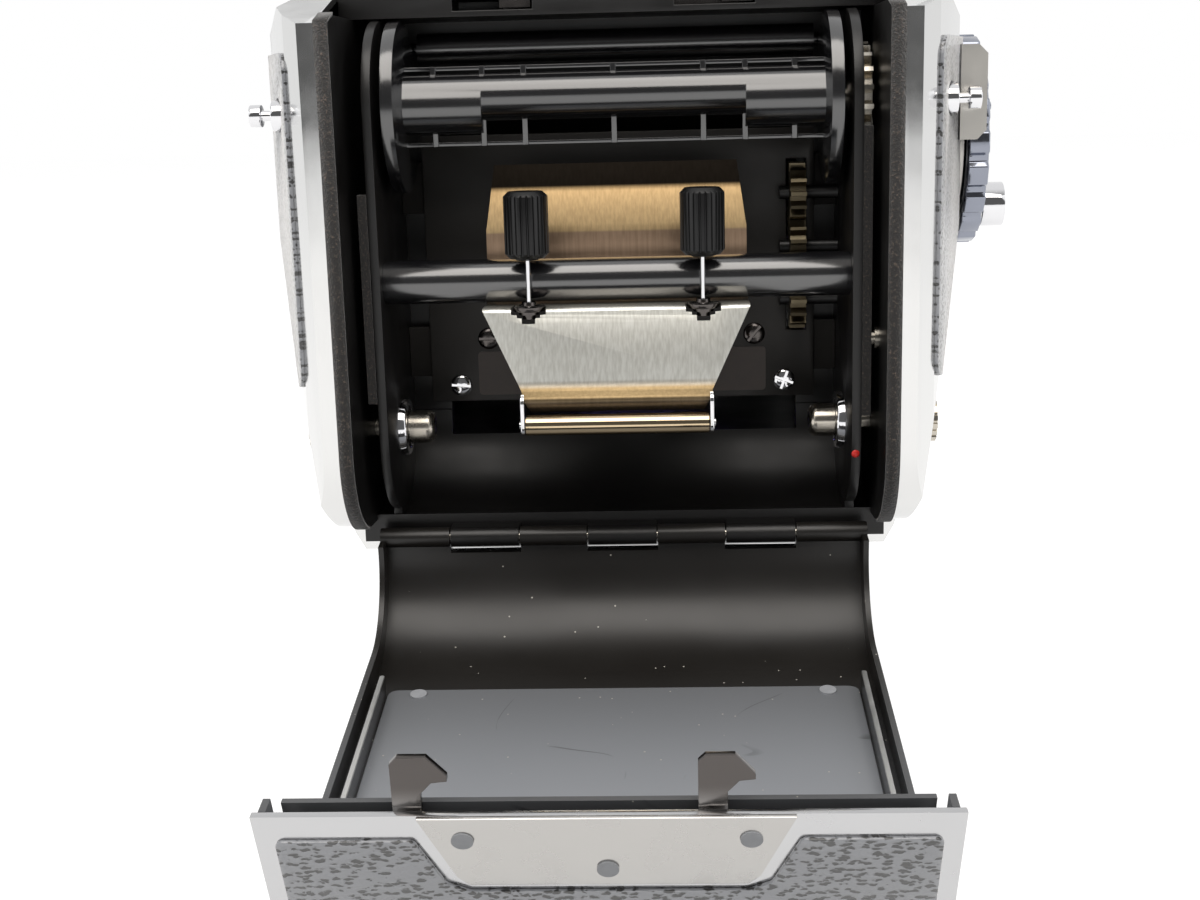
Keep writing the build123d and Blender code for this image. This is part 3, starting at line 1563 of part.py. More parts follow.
def release_button():
    """Shutter release on the front plate."""
    shank_radius = release_radius - release_overhang
    rear = front_y - front_plate_thickness - release_travel
    cap_start = front_y + release_travel + side_gap
    stem = rod_along_y(shank_radius, rear, cap_start, release_x, release_z)
    cap = rod_along_y(release_radius, cap_start, cap_start + release_reach, release_x, release_z)
    rim = cap.edges().filter_by(GeomType.CIRCLE).sort_by(Axis.Y)[-1]
    return stem + fillet(rim, 1.0)


def speed_dial():
    """Shutter speed dial on the left side."""
    length = speed_dial_height
    dial = Rot(0, -90, 0) * knurled_disc(speed_dial_radius, length, speed_dial_steps, 0.5)
    start = -shell_half_width - skin - side_gap
    dial = Pos(start, speed_dial_y, speed_dial_z) * dial
    return dial + rod_along_x(speed_shaft_radius, start, -shell_half_width + sheet + 1,
                              speed_dial_y, speed_dial_z)


sub_parts = {
    "chamber_casting": chamber_casting,
    "right_side_shell": right_shell,
    "left_side_shell": left_shell,
    "body_leathers": body_leathers,
    "base_plate": base_plate,
    "tripod_bush": tripod_bush,
    "right_spool_plate": right_spool_plate,
    "left_spool_plate": left_spool_plate,
    "light_trap_felts": light_trap_felts,
    "guide_rod": guide_rod,
    "chamber_screws": chamber_screws,
    "film_roller": film_roller,
    "pressure_plate": pressure_plate,
    "take_up_spool": take_up_spool,
    "take_up_drive": take_up_drive,
    "wind_drive": wind_drive,
    "wind_knob": wind_knob,
    "wind_knob_seat": wind_base,
    "wind_crank": wind_crank,
    "strap_lugs": strap_lugs,
    "supply_pin_right": supply_pin,
    "supply_pin_left": left_supply_pin,
    "counter_reset_pin": reset_pin,
    "spring_plate": spring_plate,
    "tension_roller": tension_roller,
    "door_shell": door_shell,
    "door_liner": door_liner,
    "door_leathers": door_leathers,
    "latch_plate": latch_plate_piece,
    "door_rivets": door_rivets,
    "door_hooks": door_hooks,
    "body_hinge": body_hinge,
    "hinge_pin": hinge_pin,
    "top_plate": top_plate,
    "latch_bar": latch_bar_piece,
    "mirror_box": mirror_box,
    "mirror_carrier": mirror_carrier,
    "reflex_mirror": reflex_mirror,
    "focusing_screen": focusing_screen,
    "hood_frame": hood_frame,
    "hood_lid": hood_lid,
    "hood_back_leaf": hood_back_leaf,
    "hood_left_leaf": hood_left_leaf,
    "hood_right_leaf": hood_right_leaf,
    "magnifier_arm": magnifier_arm,
    "magnifier_lens": magnifier_lens,
    "front_plate": front_plate,
    "lens_barrel": lens_barrel,
    "focus_ring": focus_ring,
    "lens_sleeve": lens_sleeve,
    "aperture_ring": aperture_ring,
    "front_bezel": front_bezel,
    "lens_glasses": lens_glasses,
    "release_button": release_button,
    "speed_dial": speed_dial,
}

os.makedirs("parts", exist_ok=True)
for node, make in sub_parts.items():
    export_step(make(), f"parts/{node}.step")
for step, place in enumerate(("upper", "middle", "lower")):
    export_step(counter_gear(step), f"parts/counter_gear_{place}.step")
for place, side_sign in (("left", -1), ("right", 1)):
    export_step(adjuster(side_sign), f"parts/adjuster_{place}.step")
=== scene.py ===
# %% [markdown]
# # A medium format film camera with its back open
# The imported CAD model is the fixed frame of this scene. It arrives in metres, with one object
# for each node and one empty for each moving body. This lesson gives each piece its finish,
# adds the small things that the CAD leaves out, and lights it all as in a plain studio.

# %% Load the frame
import bmesh
import bpy
import json
from math import pi, radians
from mathutils import Matrix, Vector

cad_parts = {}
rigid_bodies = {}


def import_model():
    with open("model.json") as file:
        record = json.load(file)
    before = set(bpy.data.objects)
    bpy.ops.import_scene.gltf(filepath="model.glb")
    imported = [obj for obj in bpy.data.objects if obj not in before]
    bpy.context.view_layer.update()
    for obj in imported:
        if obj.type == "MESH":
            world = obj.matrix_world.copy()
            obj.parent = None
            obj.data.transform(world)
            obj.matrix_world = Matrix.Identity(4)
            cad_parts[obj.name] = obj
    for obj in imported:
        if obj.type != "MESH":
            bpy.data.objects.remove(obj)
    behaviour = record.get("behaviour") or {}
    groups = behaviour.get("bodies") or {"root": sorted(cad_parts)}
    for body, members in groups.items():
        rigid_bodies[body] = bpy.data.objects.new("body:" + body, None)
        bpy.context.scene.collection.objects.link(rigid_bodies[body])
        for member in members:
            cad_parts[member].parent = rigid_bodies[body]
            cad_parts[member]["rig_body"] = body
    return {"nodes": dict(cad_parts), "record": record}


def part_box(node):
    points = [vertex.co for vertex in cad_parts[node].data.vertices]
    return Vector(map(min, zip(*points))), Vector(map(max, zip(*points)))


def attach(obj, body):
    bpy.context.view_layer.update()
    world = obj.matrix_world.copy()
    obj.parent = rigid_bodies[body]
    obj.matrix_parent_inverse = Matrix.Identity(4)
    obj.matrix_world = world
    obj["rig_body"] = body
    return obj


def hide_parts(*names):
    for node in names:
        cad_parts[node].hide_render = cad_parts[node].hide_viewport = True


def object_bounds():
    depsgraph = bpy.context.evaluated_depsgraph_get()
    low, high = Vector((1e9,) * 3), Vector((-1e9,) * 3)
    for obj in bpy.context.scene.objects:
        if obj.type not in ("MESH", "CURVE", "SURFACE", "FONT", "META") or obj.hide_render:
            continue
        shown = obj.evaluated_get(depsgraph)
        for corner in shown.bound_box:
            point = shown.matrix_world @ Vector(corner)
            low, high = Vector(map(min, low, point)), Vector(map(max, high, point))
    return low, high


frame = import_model()
nodes = frame["nodes"]
cad_box = [list(corner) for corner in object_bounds()]
MM = 0.001

# %% [markdown]
# ## Small helpers
# A colour is easiest to read as a web hex value, but shaders work in linear light, so one
# function converts it. Another adds a shader node with its settings and links. Operators act
# on everything that is selected, and the loaded nodes arrive selected, so the last function
# leaves just one object selected before any tool is used.

# %% Colour, node and selection helpers
def srgb(hex_value):
    """A web colour such as "1A2B3C" as linear red, green, blue and alpha."""
    channels = [int(hex_value[i:i + 2], 16) / 255 for i in (0, 2, 4)]
    return [c / 12.92 if c <= 0.04045 else ((c + 0.055) / 1.055) ** 2.4
            for c in channels] + [1.0]


def add_node(tree, kind, values=None, links=None, **settings):
    """Adds a node, sets its properties and socket values, and links sources to its sockets."""
    node = tree.nodes.new(kind)
    for name, value in settings.items():
        setattr(node, name, value)
    for socket, value in (values or {}).items():
        node.inputs[socket].default_value = value
    for socket, source in (links or {}).items():
        tree.links.new(source, node.inputs[socket])
    return node


def blank_material(name):
    """A material without nodes; returns the material and its node tree."""
    material = bpy.data.materials.new(name)
    material.use_nodes = True
    material.node_tree.nodes.clear()
    print("material", name)
    return material, material.node_tree


def new_material(name, values=None):
    """A material with a shader, whose values are set; returns material, tree and shader."""
    material, tree = blank_material(name)
    shader = add_node(tree, "ShaderNodeBsdfPrincipled", values)
    add_node(tree, "ShaderNodeOutputMaterial", links={"Surface": shader.outputs[0]})
    return material, tree, shader


def select_only(obj):
    bpy.ops.object.select_all(action="DESELECT")
    obj.select_set(True)
    bpy.context.view_layer.objects.active = obj


WHITE = srgb("FFFFFF")
bpy.ops.object.select_all(action="DESELECT")
print("selected", len(bpy.context.selected_objects))

# %% [markdown]
# ## Camera
# The photograph looks slightly down into the open back from about 24 cm behind it. The place,
# turn and focal length were worked out from the straight edges of the body, whose real
# distances are known from the 6 cm film format.

# %% Camera at the photograph's viewpoint
camera_data = bpy.data.cameras.new("photo_camera")
camera_data.sensor_width = 36.0
camera_data.lens = 48.0
camera_data.clip_start = 0.01
camera = bpy.data.objects.new("photo_camera", camera_data)
bpy.context.scene.collection.objects.link(camera)
look_down, look_left, lean = radians(12.4), radians(2.5), radians(1.5)
turn = (Matrix.Rotation(look_left, 3, "Z") @ Matrix.Rotation(pi / 2 - look_down, 3, "X")
        @ Matrix.Rotation(-lean, 3, "Z"))
camera.location = (7.2 * MM, -270.3 * MM, 67.6 * MM)
camera.rotation_euler = turn.to_euler()
bpy.context.scene.camera = camera
print("camera at", [round(v / MM, 1) for v in camera.location], "mm")

# %% [markdown]
# ## Floor and block
# The door hangs below the base, so the camera stands on a white block on a white floor. The
# photograph's background is pure white. Emission that only the eye, mirrors and glass can see
# lifts the floor to that white, while it still takes the object's shadow.

# %% Floor and block
def white_stage_material():
    """Matt grey for the light, and a white glow for the eye, mirrors and glass."""
    glow_strength = 0.8
    material, tree = blank_material("White studio laminate")
    path = add_node(tree, "ShaderNodeLightPath")
    seen = add_node(tree, "ShaderNodeMath", operation="MAXIMUM",
                    links={0: path.outputs["Is Camera Ray"], 1: path.outputs["Is Glossy Ray"]})
    seen = add_node(tree, "ShaderNodeMath", operation="MAXIMUM",
                    links={0: seen.outputs[0], 1: path.outputs["Is Transmission Ray"]})
    level = add_node(tree, "ShaderNodeMath", operation="MULTIPLY", values={1: glow_strength},
                     links={0: seen.outputs[0]})
    glow = add_node(tree, "ShaderNodeEmission", values={"Color": WHITE},
                    links={"Strength": level.outputs[0]})
    matt = add_node(tree, "ShaderNodeBsdfDiffuse", values={"Color": srgb("A0A0A0")})
    both = add_node(tree, "ShaderNodeAddShader", links={0: glow.outputs[0], 1: matt.outputs[0]})
    add_node(tree, "ShaderNodeOutputMaterial", links={"Surface": both.outputs[0]})
    return material


floor_gap = 0.3 * MM
floor_level = cad_box[0][2] - floor_gap
stage_white = white_stage_material()
bpy.ops.mesh.primitive_plane_add(size=6.0, location=(0, 0, floor_level))
floor = bpy.context.object
floor.name = "studio_floor"
bpy.ops.mesh.primitive_cube_add(size=1.0, location=(0, 12 * MM, floor_level / 2))
block = bpy.context.object
block.name = "studio_block"
block.scale = (56 * MM, 60 * MM, -floor_level)
for thing in (floor, block):
    thing.data.materials.append(stage_white)
print("floor at", round(floor_level / MM, 1), "mm")

# %% [markdown]
# ## Light
# A bright surround does most of the work, as in a light tent. The eye sees it pure white, and
# matt surfaces get about half of that as light. What metal mirrors is another matter: the room
# behind the photographer is dark, so a reflection dims as its ray turns backwards. Large soft
# lamps above and beside the photographer give the polished steel and the black enamel their
# highlights.

# %% World and lamps
world = bpy.data.worlds.new("Light tent")
bpy.context.scene.world = world
world.use_nodes = True
sky = world.node_tree
sky.nodes.clear()
path = add_node(sky, "ShaderNodeLightPath")
direction = add_node(sky, "ShaderNodeTexCoord")
compass = add_node(sky, "ShaderNodeSeparateXYZ", links={0: direction.outputs["Generated"]})
mirrored = add_node(sky, "ShaderNodeMapRange", interpolation_type="SMOOTHSTEP",
                    values={"From Min": -0.85, "From Max": 0.1, "To Min": 0.12, "To Max": 0.95},
                    links={"Value": compass.outputs["Y"]})
clear = add_node(sky, "ShaderNodeMath", operation="MAXIMUM",
                 links={0: path.outputs["Is Camera Ray"], 1: path.outputs["Is Transmission Ray"]})
soft = add_node(sky, "ShaderNodeMapRange", values={"To Min": 0.55, "To Max": 1.0},
                links={"Value": clear.outputs[0]})
level = add_node(sky, "ShaderNodeMix",
                 links={0: path.outputs["Is Glossy Ray"], 2: soft.outputs[0],
                        3: mirrored.outputs[0]})
tent = add_node(sky, "ShaderNodeBackground", values={"Color": WHITE},
                links={"Strength": level.outputs[0]})
add_node(sky, "ShaderNodeOutputWorld", links={"Surface": tent.outputs[0]})


def soft_lamp(name, place, height, watts, tint):
    """A lamp one metre wide, with its height in metres, that faces the middle of the body."""
    data = bpy.data.lights.new(name, "AREA")
    data.shape = "RECTANGLE"
    data.size, data.size_y = 1.0, height
    data.energy = watts
    data.color = srgb(tint)[:3]
    lamp = bpy.data.objects.new(name, data)
    lamp.location = place
    middle = Vector((0, 0, 30 * MM))
    lamp.rotation_euler = (middle - Vector(place)).to_track_quat("-Z", "Y").to_euler()
    bpy.context.scene.collection.objects.link(lamp)


soft_lamp("lamp_above", (0.0, -0.45, 0.75), 0.6, 6.5, "FFFAF4")
soft_lamp("lamp_left", (-0.9, -0.45, 0.35), 1.0, 3.0, "FFFFFF")
soft_lamp("lamp_right", (0.9, -0.45, 0.35), 1.0, 3.0, "FFFFFF")
bpy.context.scene.view_settings.view_transform = "Standard"
print("lamps", len(bpy.data.lights))

# %% [markdown]
# ## Patchy gloss and fine relief
# No real surface is equally glossy all over. Handling and polishing leave soft patches, and
# the maker's tool leaves a fine grain. Two noise textures make both: one moves the roughness,
# the other raises a slight relief. Their sizes are given in millimetres of the real object.

# %% Helpers that most finishes share
NOISE_LOW, NOISE_HIGH = 0.3, 0.7  # nearly all values of a noise texture lie between these


def mm_scale(size):
    """The texture scale whose features are about size millimetres wide."""
    return 1 / (size * MM)


def object_place(tree, scale=(1, 1, 1)):
    """Object coordinates, stretched along each axis whose scale is below one."""
    place = add_node(tree, "ShaderNodeTexCoord")
    stretch = add_node(tree, "ShaderNodeMapping", values={"Scale": scale},
                       links={"Vector": place.outputs["Object"]})
    return stretch.outputs[0]


def patchy_gloss(tree, shader, patch, low, high, detail=3.0):
    """Lets the roughness wander between low and high, in patches of a size in millimetres."""
    smudge = add_node(tree, "ShaderNodeTexNoise",
                      values={"Scale": mm_scale(patch), "Detail": detail},
                      links={"Vector": object_place(tree)})
    rough = add_node(tree, "ShaderNodeMapRange",
                     values={"From Min": NOISE_LOW, "From Max": NOISE_HIGH,
                             "To Min": low, "To Max": high},
                     links={"Value": smudge.outputs[0]})
    tree.links.new(rough.outputs[0], shader.inputs["Roughness"])


def fine_relief(tree, shader, grain, depth, strength, stretch=(1, 1, 1)):
    """Raises a grain of a size and depth in millimetres."""
    lines = add_node(tree, "ShaderNodeTexNoise", values={"Scale": mm_scale(grain), "Detail": 2.0},
                     links={"Vector": object_place(tree, stretch)})
    relief = add_node(tree, "ShaderNodeBump", values={"Strength": strength, "Distance": depth * MM},
                      links={"Height": lines.outputs[0]})
    tree.links.new(relief.outputs[0], shader.inputs["Normal"])


# %% [markdown]
# ## Steel and anodised aluminium
# The covers are stainless sheet, buffed until it mirrors the room. A metal keeps the default
# index of refraction. Handling leaves a faint unevenness, in patches about 7 mm wide, and
# hairlines 0.2 mm apart break the reflections. The same recipe with other colours and gloss
# gives the satin and turned steel, the rubbed latch plate and lid, the roller, the enamel
# worn off the ribs, and the grey anodised knob. The roller's straw tint is a painted reflection
# of the tan spring sheet that it mirrors.

# %% Steel and anodised aluminium
def metal(name, colour, low, high, patch=7.0, hairline=(1, 1, 1), strength=0.05):
    """Bare metal with roughness from low to high, and hairlines along the stretched axis."""
    material, tree, shader = new_material(name, {"Metallic": 1.0, "Base Color": srgb(colour)})
    patchy_gloss(tree, shader, patch, low, high, detail=4.0)
    fine_relief(tree, shader, grain=0.2, depth=0.02, strength=strength, stretch=hairline)
    return material


polished_steel = metal("Polished stainless steel", "D9D9D8", 0.07, 0.16, hairline=(1, 1, 0.02))
satin_steel = metal("Satin stainless steel", "C9C6C0", 0.28, 0.4)
turned_steel = metal("Turned steel", "BDB7AC", 0.16, 0.28, hairline=(0.02, 1, 1), strength=0.15)
worn_steel = metal("Worn polished steel", "B5B3B0", 0.14, 0.34, patch=4.0, hairline=(0.05, 1, 1),
                   strength=0.2)
hazed_steel = metal("Hand-hazed polished steel", "BFBFC0", 0.12, 0.3, patch=5.0,
                    hairline=(0.05, 1, 1))
# The straw tint is a painted reflection of the tan spring sheet.
roller_steel_painted_tan = metal("Roller steel with a painted tan reflection", "CDB999", 0.05, 0.1, hairline=(0.02, 1, 1))
worn_rim = metal("Enamel worn to bare steel", "D2D2D0", 0.3, 0.42, patch=2.0)
grey_anodised = metal("Grey anodised aluminium", "8D919C", 0.08, 0.16, patch=3.0)

# %% [markdown]
# ## Blued spring steel
# The door's two hooks are heated until they turn dark, then snap into the body thousands of
# times. Their colour pales downwards from the dark head along the stem.

# %% Blued spring steel
def colour_by(material, colour):
    """Links a colour to the shader of a finished material."""
    shader = material.node_tree.nodes["Principled BSDF"]
    material.node_tree.links.new(colour, shader.inputs["Base Color"])


def blued_steel():
    material = metal("Blued spring steel", "5E5A58", 0.16, 0.28, patch=3.0)
    tree = material.node_tree
    low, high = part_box("door_hooks")
    rise = high.z - low.z
    place = add_node(tree, "ShaderNodeSeparateXYZ", links={0: object_place(tree)})
    head = add_node(tree, "ShaderNodeMapRange", interpolation_type="SMOOTHSTEP",
                    values={"From Min": low.z + 0.35 * rise, "From Max": low.z + 0.75 * rise},
                    links={"Value": place.outputs["Z"]})
    colour = add_node(tree, "ShaderNodeMix", data_type="RGBA",
                      values={6: srgb("ACAAA8"), 7: srgb("5A5654")}, links={0: head.outputs[0]})
    colour_by(material, colour.outputs[2])
    return material


hook_steel = blued_steel()

# %% [markdown]
# ## Brushed spring sheet with painted reflections
# The spring plate is brushed sheet, hardened with heat. Its colour changes along the height as
# painted reflection and shade: a straw bend with darker steel under it at the curled foot, bare
# silver on the film side, brown under the rod where it mirrors the dark interior, straw above
# it, and near black at the clamped top where it mirrors the dark spool. A colour ramp follows
# the height, and brush strokes 0.35 mm apart, drawn out up and down, shade it.

# %% Spring sheet with painted reflections
def sheet_with_painted_reflections():
    material = metal("Brushed spring steel with painted reflections", "D2D0C8", 0.38, 0.42, patch=20.0,
                     hairline=(1, 1, 0.015), strength=0.6)
    tree = material.node_tree
    foot, top = 24.0, 60.0
    # Colour bands by height: painted reflections of the spool and the interior, and painted shade
    # at the foot.
    painted_reflection_bands = ((24.72, "5E5852"), (25.2, "7A6A54"), (26.0, "94805F"), (26.9, "94805F"),
                    (27.96, "F0F0EA"), (38.2, "F0F0EA"), (38.9, "BFA48C"), (48.2, "AC927B"),
                    (48.5, "D2B68A"), (54.2, "C4A67A"), (55.0, "14110E"))
    place = add_node(tree, "ShaderNodeSeparateXYZ", links={0: object_place(tree)})
    height = add_node(tree, "ShaderNodeMapRange",
                      values={"From Min": foot * MM, "From Max": top * MM},
                      links={"Value": place.outputs["Z"]})
    ramp = add_node(tree, "ShaderNodeValToRGB", links={"Fac": height.outputs[0]})
    stops = ramp.color_ramp.elements
    stops.remove(stops[1])
    for z, tint in painted_reflection_bands:
        stop = stops.new((z - foot) / (top - foot))
        stop.color = srgb(tint)
    stops.remove(stops[0])
    strokes = add_node(tree, "ShaderNodeTexNoise", values={"Scale": mm_scale(0.35), "Detail": 3.0},
                       links={"Vector": object_place(tree, (1, 1, 0.02))})
    shade = add_node(tree, "ShaderNodeMapRange",
                     values={"From Min": 0.35, "From Max": 0.65, "To Min": 0.3},
                     links={"Value": strokes.outputs[0]})
    brushed = add_node(tree, "ShaderNodeMix", data_type="RGBA", blend_type="MULTIPLY",
                       values={7: srgb("E2E1DE")},
                       links={0: shade.outputs[0], 6: ramp.outputs["Color"]})
    colour_by(material, brushed.outputs[2])
    return material


brushed_steel = sheet_with_painted_reflections()
print("spring sheet colours made")

# %% [markdown]
# ## Chrome, brass and mirror
# Bright chrome plate is almost a perfect mirror with a cool tone. The small gear wheels are
# cut brass, warm and a little dull. The reflex mirror is silvered glass.

# %% Chrome, brass and mirror
chrome = metal("Bright chrome plate", "DEDEE0", 0.03, 0.08)
cut_brass = metal("Cut brass", "6C6350", 0.3, 0.45, patch=2.0, strength=0.2)
silvered_glass = metal("Silvered mirror glass", "E9ECEC", 0.01, 0.03, patch=15.0, strength=0.0)

# %% [markdown]
# ## Black enamel, lacquer and plastic
# The inside of a camera is painted a dull black, so that stray light dies there. Baked enamel
# has a fine orange peel, here waves about 0.5 mm wide, that spreads its highlights. The rod's
# lacquer and the spool's plastic shine more, as under a clear coat. Anodising leaves a
# slightly metallic black.

# %% Black enamel, lacquer and plastic
def black_coating(name, colour, low, high, grain, strength, extra=None):
    """A black paint or plastic with roughness from low to high, over a grain in millimetres."""
    values = {"Base Color": srgb(colour)}
    values.update(extra or {})
    material, tree, shader = new_material(name, values)
    patchy_gloss(tree, shader, 9.0, low, high)
    fine_relief(tree, shader, grain, depth=0.05, strength=strength)
    return material


def clear_coat(weight):
    return {"Coat Weight": weight, "Coat IOR": 2.1, "Coat Roughness": 0.17}


baked_enamel = black_coating("Baked black enamel", "0F0E0E", 0.32, 0.44, 0.5, 0.25)
satin_lacquer = black_coating("Satin black lacquer", "141416", 0.18, 0.24, 0.3, 0.12,
                              clear_coat(0.75))
moulded_plastic = black_coating("Moulded black phenolic plastic", "121214", 0.15, 0.22, 1.5, 0.06,
                                clear_coat(0.65))
black_anodised = black_coating("Black anodised aluminium", "0F0F10", 0.28, 0.38, 0.15, 0.2,
                               {"Metallic": 0.3})
plate_coating = black_coating("Dark grey anodised plate", "2B2927", 0.42, 0.55, 0.25, 0.3,
                              {"Metallic": 0.3})

# %% [markdown]
# ## Scuffed enamel on the door
# The door is lined with satin black enamel. Its colour pales along the flat, from y = -46 mm
# near the hinge to y = -84 mm: painted shade where the door curves up by the body, and painted
# light out on the flat, which stands in for its grey sheen. The contour lines of a slow noise
# make a few long dark scuffs. Points scattered 2.6 mm apart in space, where one happens to lie
# in the surface, are specks of pale dust a quarter millimetre wide.

# %% Scuffed enamel
def scuffed_enamel(name, shaded_colour, lit_colour):
    material, tree, shader = new_material(name)
    place = add_node(tree, "ShaderNodeSeparateXYZ", links={0: object_place(tree)})
    # Painted light: darker by the hinge as painted shade, paler out on the flat as painted light.
    painted_light_gradient = add_node(tree, "ShaderNodeMapRange", interpolation_type="SMOOTHSTEP",
                    values={"From Min": -46 * MM, "From Max": -84 * MM},
                    links={"Value": place.outputs["Y"]})
    base = add_node(tree, "ShaderNodeMix", data_type="RGBA",
                    values={6: srgb(shaded_colour), 7: srgb(lit_colour)}, links={0: painted_light_gradient.outputs[0]})
    slow = add_node(tree, "ShaderNodeTexNoise",
                    values={"Scale": mm_scale(26.0), "Detail": 1.0, "Distortion": 0.3},
                    links={"Vector": object_place(tree)})
    line = add_node(tree, "ShaderNodeMath", operation="COMPARE", values={1: 0.5, 2: 0.0022},
                    links={0: slow.outputs[0]})
    patch = add_node(tree, "ShaderNodeTexNoise", values={"Scale": mm_scale(9.0)},
                     links={"Vector": object_place(tree)})
    kept = add_node(tree, "ShaderNodeMapRange",
                    values={"From Min": 0.5, "From Max": 0.6, "To Max": 0.45},
                    links={"Value": patch.outputs[0]})
    marks = add_node(tree, "ShaderNodeMath", operation="MULTIPLY",
                     links={0: line.outputs[0], 1: kept.outputs[0]})
    scuffed = add_node(tree, "ShaderNodeMix", data_type="RGBA", values={7: srgb("1A1A1B")},
                       links={0: marks.outputs[0], 6: base.outputs[2]})
    cells = add_node(tree, "ShaderNodeTexVoronoi", values={"Scale": mm_scale(2.6)},
                     links={"Vector": object_place(tree)})
    speck = add_node(tree, "ShaderNodeMath", operation="LESS_THAN", values={1: 0.05},
                     links={0: cells.outputs["Distance"]})
    dusty = add_node(tree, "ShaderNodeMix", data_type="RGBA", values={7: srgb("A8A49C")},
                     links={0: speck.outputs[0], 6: scuffed.outputs[2]})
    tree.links.new(dusty.outputs[2], shader.inputs["Base Color"])
    patchy_gloss(tree, shader, 16.0, low=0.3, high=0.38)
    fine_relief(tree, shader, grain=0.4, depth=0.04, strength=0.12)
    return material


# Both enamels are painted darker near the hinge and paler along the flat, as painted shade and
# light.
door_enamel = scuffed_enamel("Satin black door enamel", "191715", "4A4B4D")
lining_enamel = scuffed_enamel("Grey lining enamel with painted light", "616366", "85888D")

# %% [markdown]
# ## Pebbled leather
# The covering is thin leather pressed with a wrinkled grain: creases about 0.4 mm wide, 0.6 mm
# apart, and two or three times as long crosswise. Each is the middle of a Voronoi cell that is
# stretched along x and pushed about by noise, so that no two look alike. They are duller than
# the pebbles between them, which hands have polished. Their near black is painted shade, and
# the pale grey of the pebbles is a painted sheen, for the bright surround that the grain
# mirrors at a glancing angle.

# %% Pebbled leather
def pebbled_leather():
    polish = {"Coat Weight": 0.9, "Coat IOR": 1.7, "Coat Roughness": 0.25,
              "Sheen Weight": 1.0, "Sheen Roughness": 0.35}
    material, tree, shader = new_material("Black pebbled leather", polish)
    wander = add_node(tree, "ShaderNodeTexNoise", values={"Scale": mm_scale(0.9), "Detail": 1.0},
                      links={"Vector": object_place(tree)})
    shift = add_node(tree, "ShaderNodeVectorMath", operation="SCALE", values={"Scale": 0.8 * MM},
                     links={0: wander.outputs["Color"]})
    moved = add_node(tree, "ShaderNodeVectorMath", operation="ADD",
                     links={0: object_place(tree), 1: shift.outputs[0]})
    crosswise = add_node(tree, "ShaderNodeMapping", values={"Scale": (0.4, 1, 1)},
                         links={"Vector": moved.outputs[0]})
    creases = add_node(tree, "ShaderNodeTexVoronoi",
                       values={"Scale": mm_scale(0.6), "Randomness": 0.85},
                       links={"Vector": crosswise.outputs[0]})
    pebble = add_node(tree, "ShaderNodeMapRange", interpolation_type="SMOOTHSTEP",
                      values={"From Min": 0.32, "From Max": 0.48},
                      links={"Value": creases.outputs["Distance"]})
    pores = add_node(tree, "ShaderNodeTexNoise", values={"Scale": mm_scale(0.25), "Detail": 3.0},
                     links={"Vector": object_place(tree)})
    dome = add_node(tree, "ShaderNodeMath", operation="MULTIPLY_ADD", values={1: 0.8},
                    links={0: creases.outputs["Distance"], 2: pebble.outputs[0]})
    height = add_node(tree, "ShaderNodeMath", operation="MULTIPLY_ADD", values={1: 0.25},
                      links={0: pores.outputs[0], 2: dome.outputs[0]})
    # Painted shade in the creases, and a painted sheen in the pale grey of the pebbles.
    colour = add_node(tree, "ShaderNodeMix", data_type="RGBA",
                      values={6: srgb("0E0D0D"), 7: srgb("84868B")}, links={0: pebble.outputs[0]})
    rough = add_node(tree, "ShaderNodeMapRange", values={"To Min": 0.6, "To Max": 0.34},
                     links={"Value": pebble.outputs[0]})
    relief = add_node(tree, "ShaderNodeBump", values={"Strength": 0.9, "Distance": 0.22 * MM},
                      links={"Height": height.outputs[0]})
    tree.links.new(colour.outputs[2], shader.inputs["Base Color"])
    tree.links.new(rough.outputs[0], shader.inputs["Roughness"])
    tree.links.new(relief.outputs[0], shader.inputs["Normal"])
    return material


leather = pebbled_leather()

# %% [markdown]
# ## Flocking
# Light seals are strips of short black fibres. Fibres scatter light at all angles, so the
# roughness is nearly full, a sheen lifts the edges, and grains 0.35 mm wide cast tiny shadows.
# The colour follows the same grain, with painted light on the raised tips and painted shade in
# the hollows.

# %% Flock
def flocking():
    pile = {"Roughness": 0.9, "Sheen Weight": 0.4, "Sheen Roughness": 0.5}
    material, tree, shader = new_material("Black flock", pile)
    fibre = add_node(tree, "ShaderNodeTexNoise",
                     values={"Scale": mm_scale(0.35), "Detail": 4.0, "Roughness": 0.7},
                     links={"Vector": object_place(tree)})
    painted_lit_tips = add_node(tree, "ShaderNodeMapRange", values={"From Min": 0.55, "From Max": 0.75},
                    links={"Value": fibre.outputs[0]})
    # Painted light on the raised tips of the fibres, painted shade in the hollows.
    colour = add_node(tree, "ShaderNodeMix", data_type="RGBA",
                      values={6: srgb("131110"), 7: srgb("6A5B50")}, links={0: painted_lit_tips.outputs[0]})
    relief = add_node(tree, "ShaderNodeBump", values={"Strength": 0.9, "Distance": 0.25 * MM},
                      links={"Height": fibre.outputs[0]})
    tree.links.new(colour.outputs[2], shader.inputs["Base Color"])
    tree.links.new(relief.outputs[0], shader.inputs["Normal"])
    return material


flock = flocking()

# %% [markdown]
# ## Glass
# Lens glass is clear and polished, with the violet glow of its coating. The focusing screen
# is ground on one side, so it lets light through but scatters it.

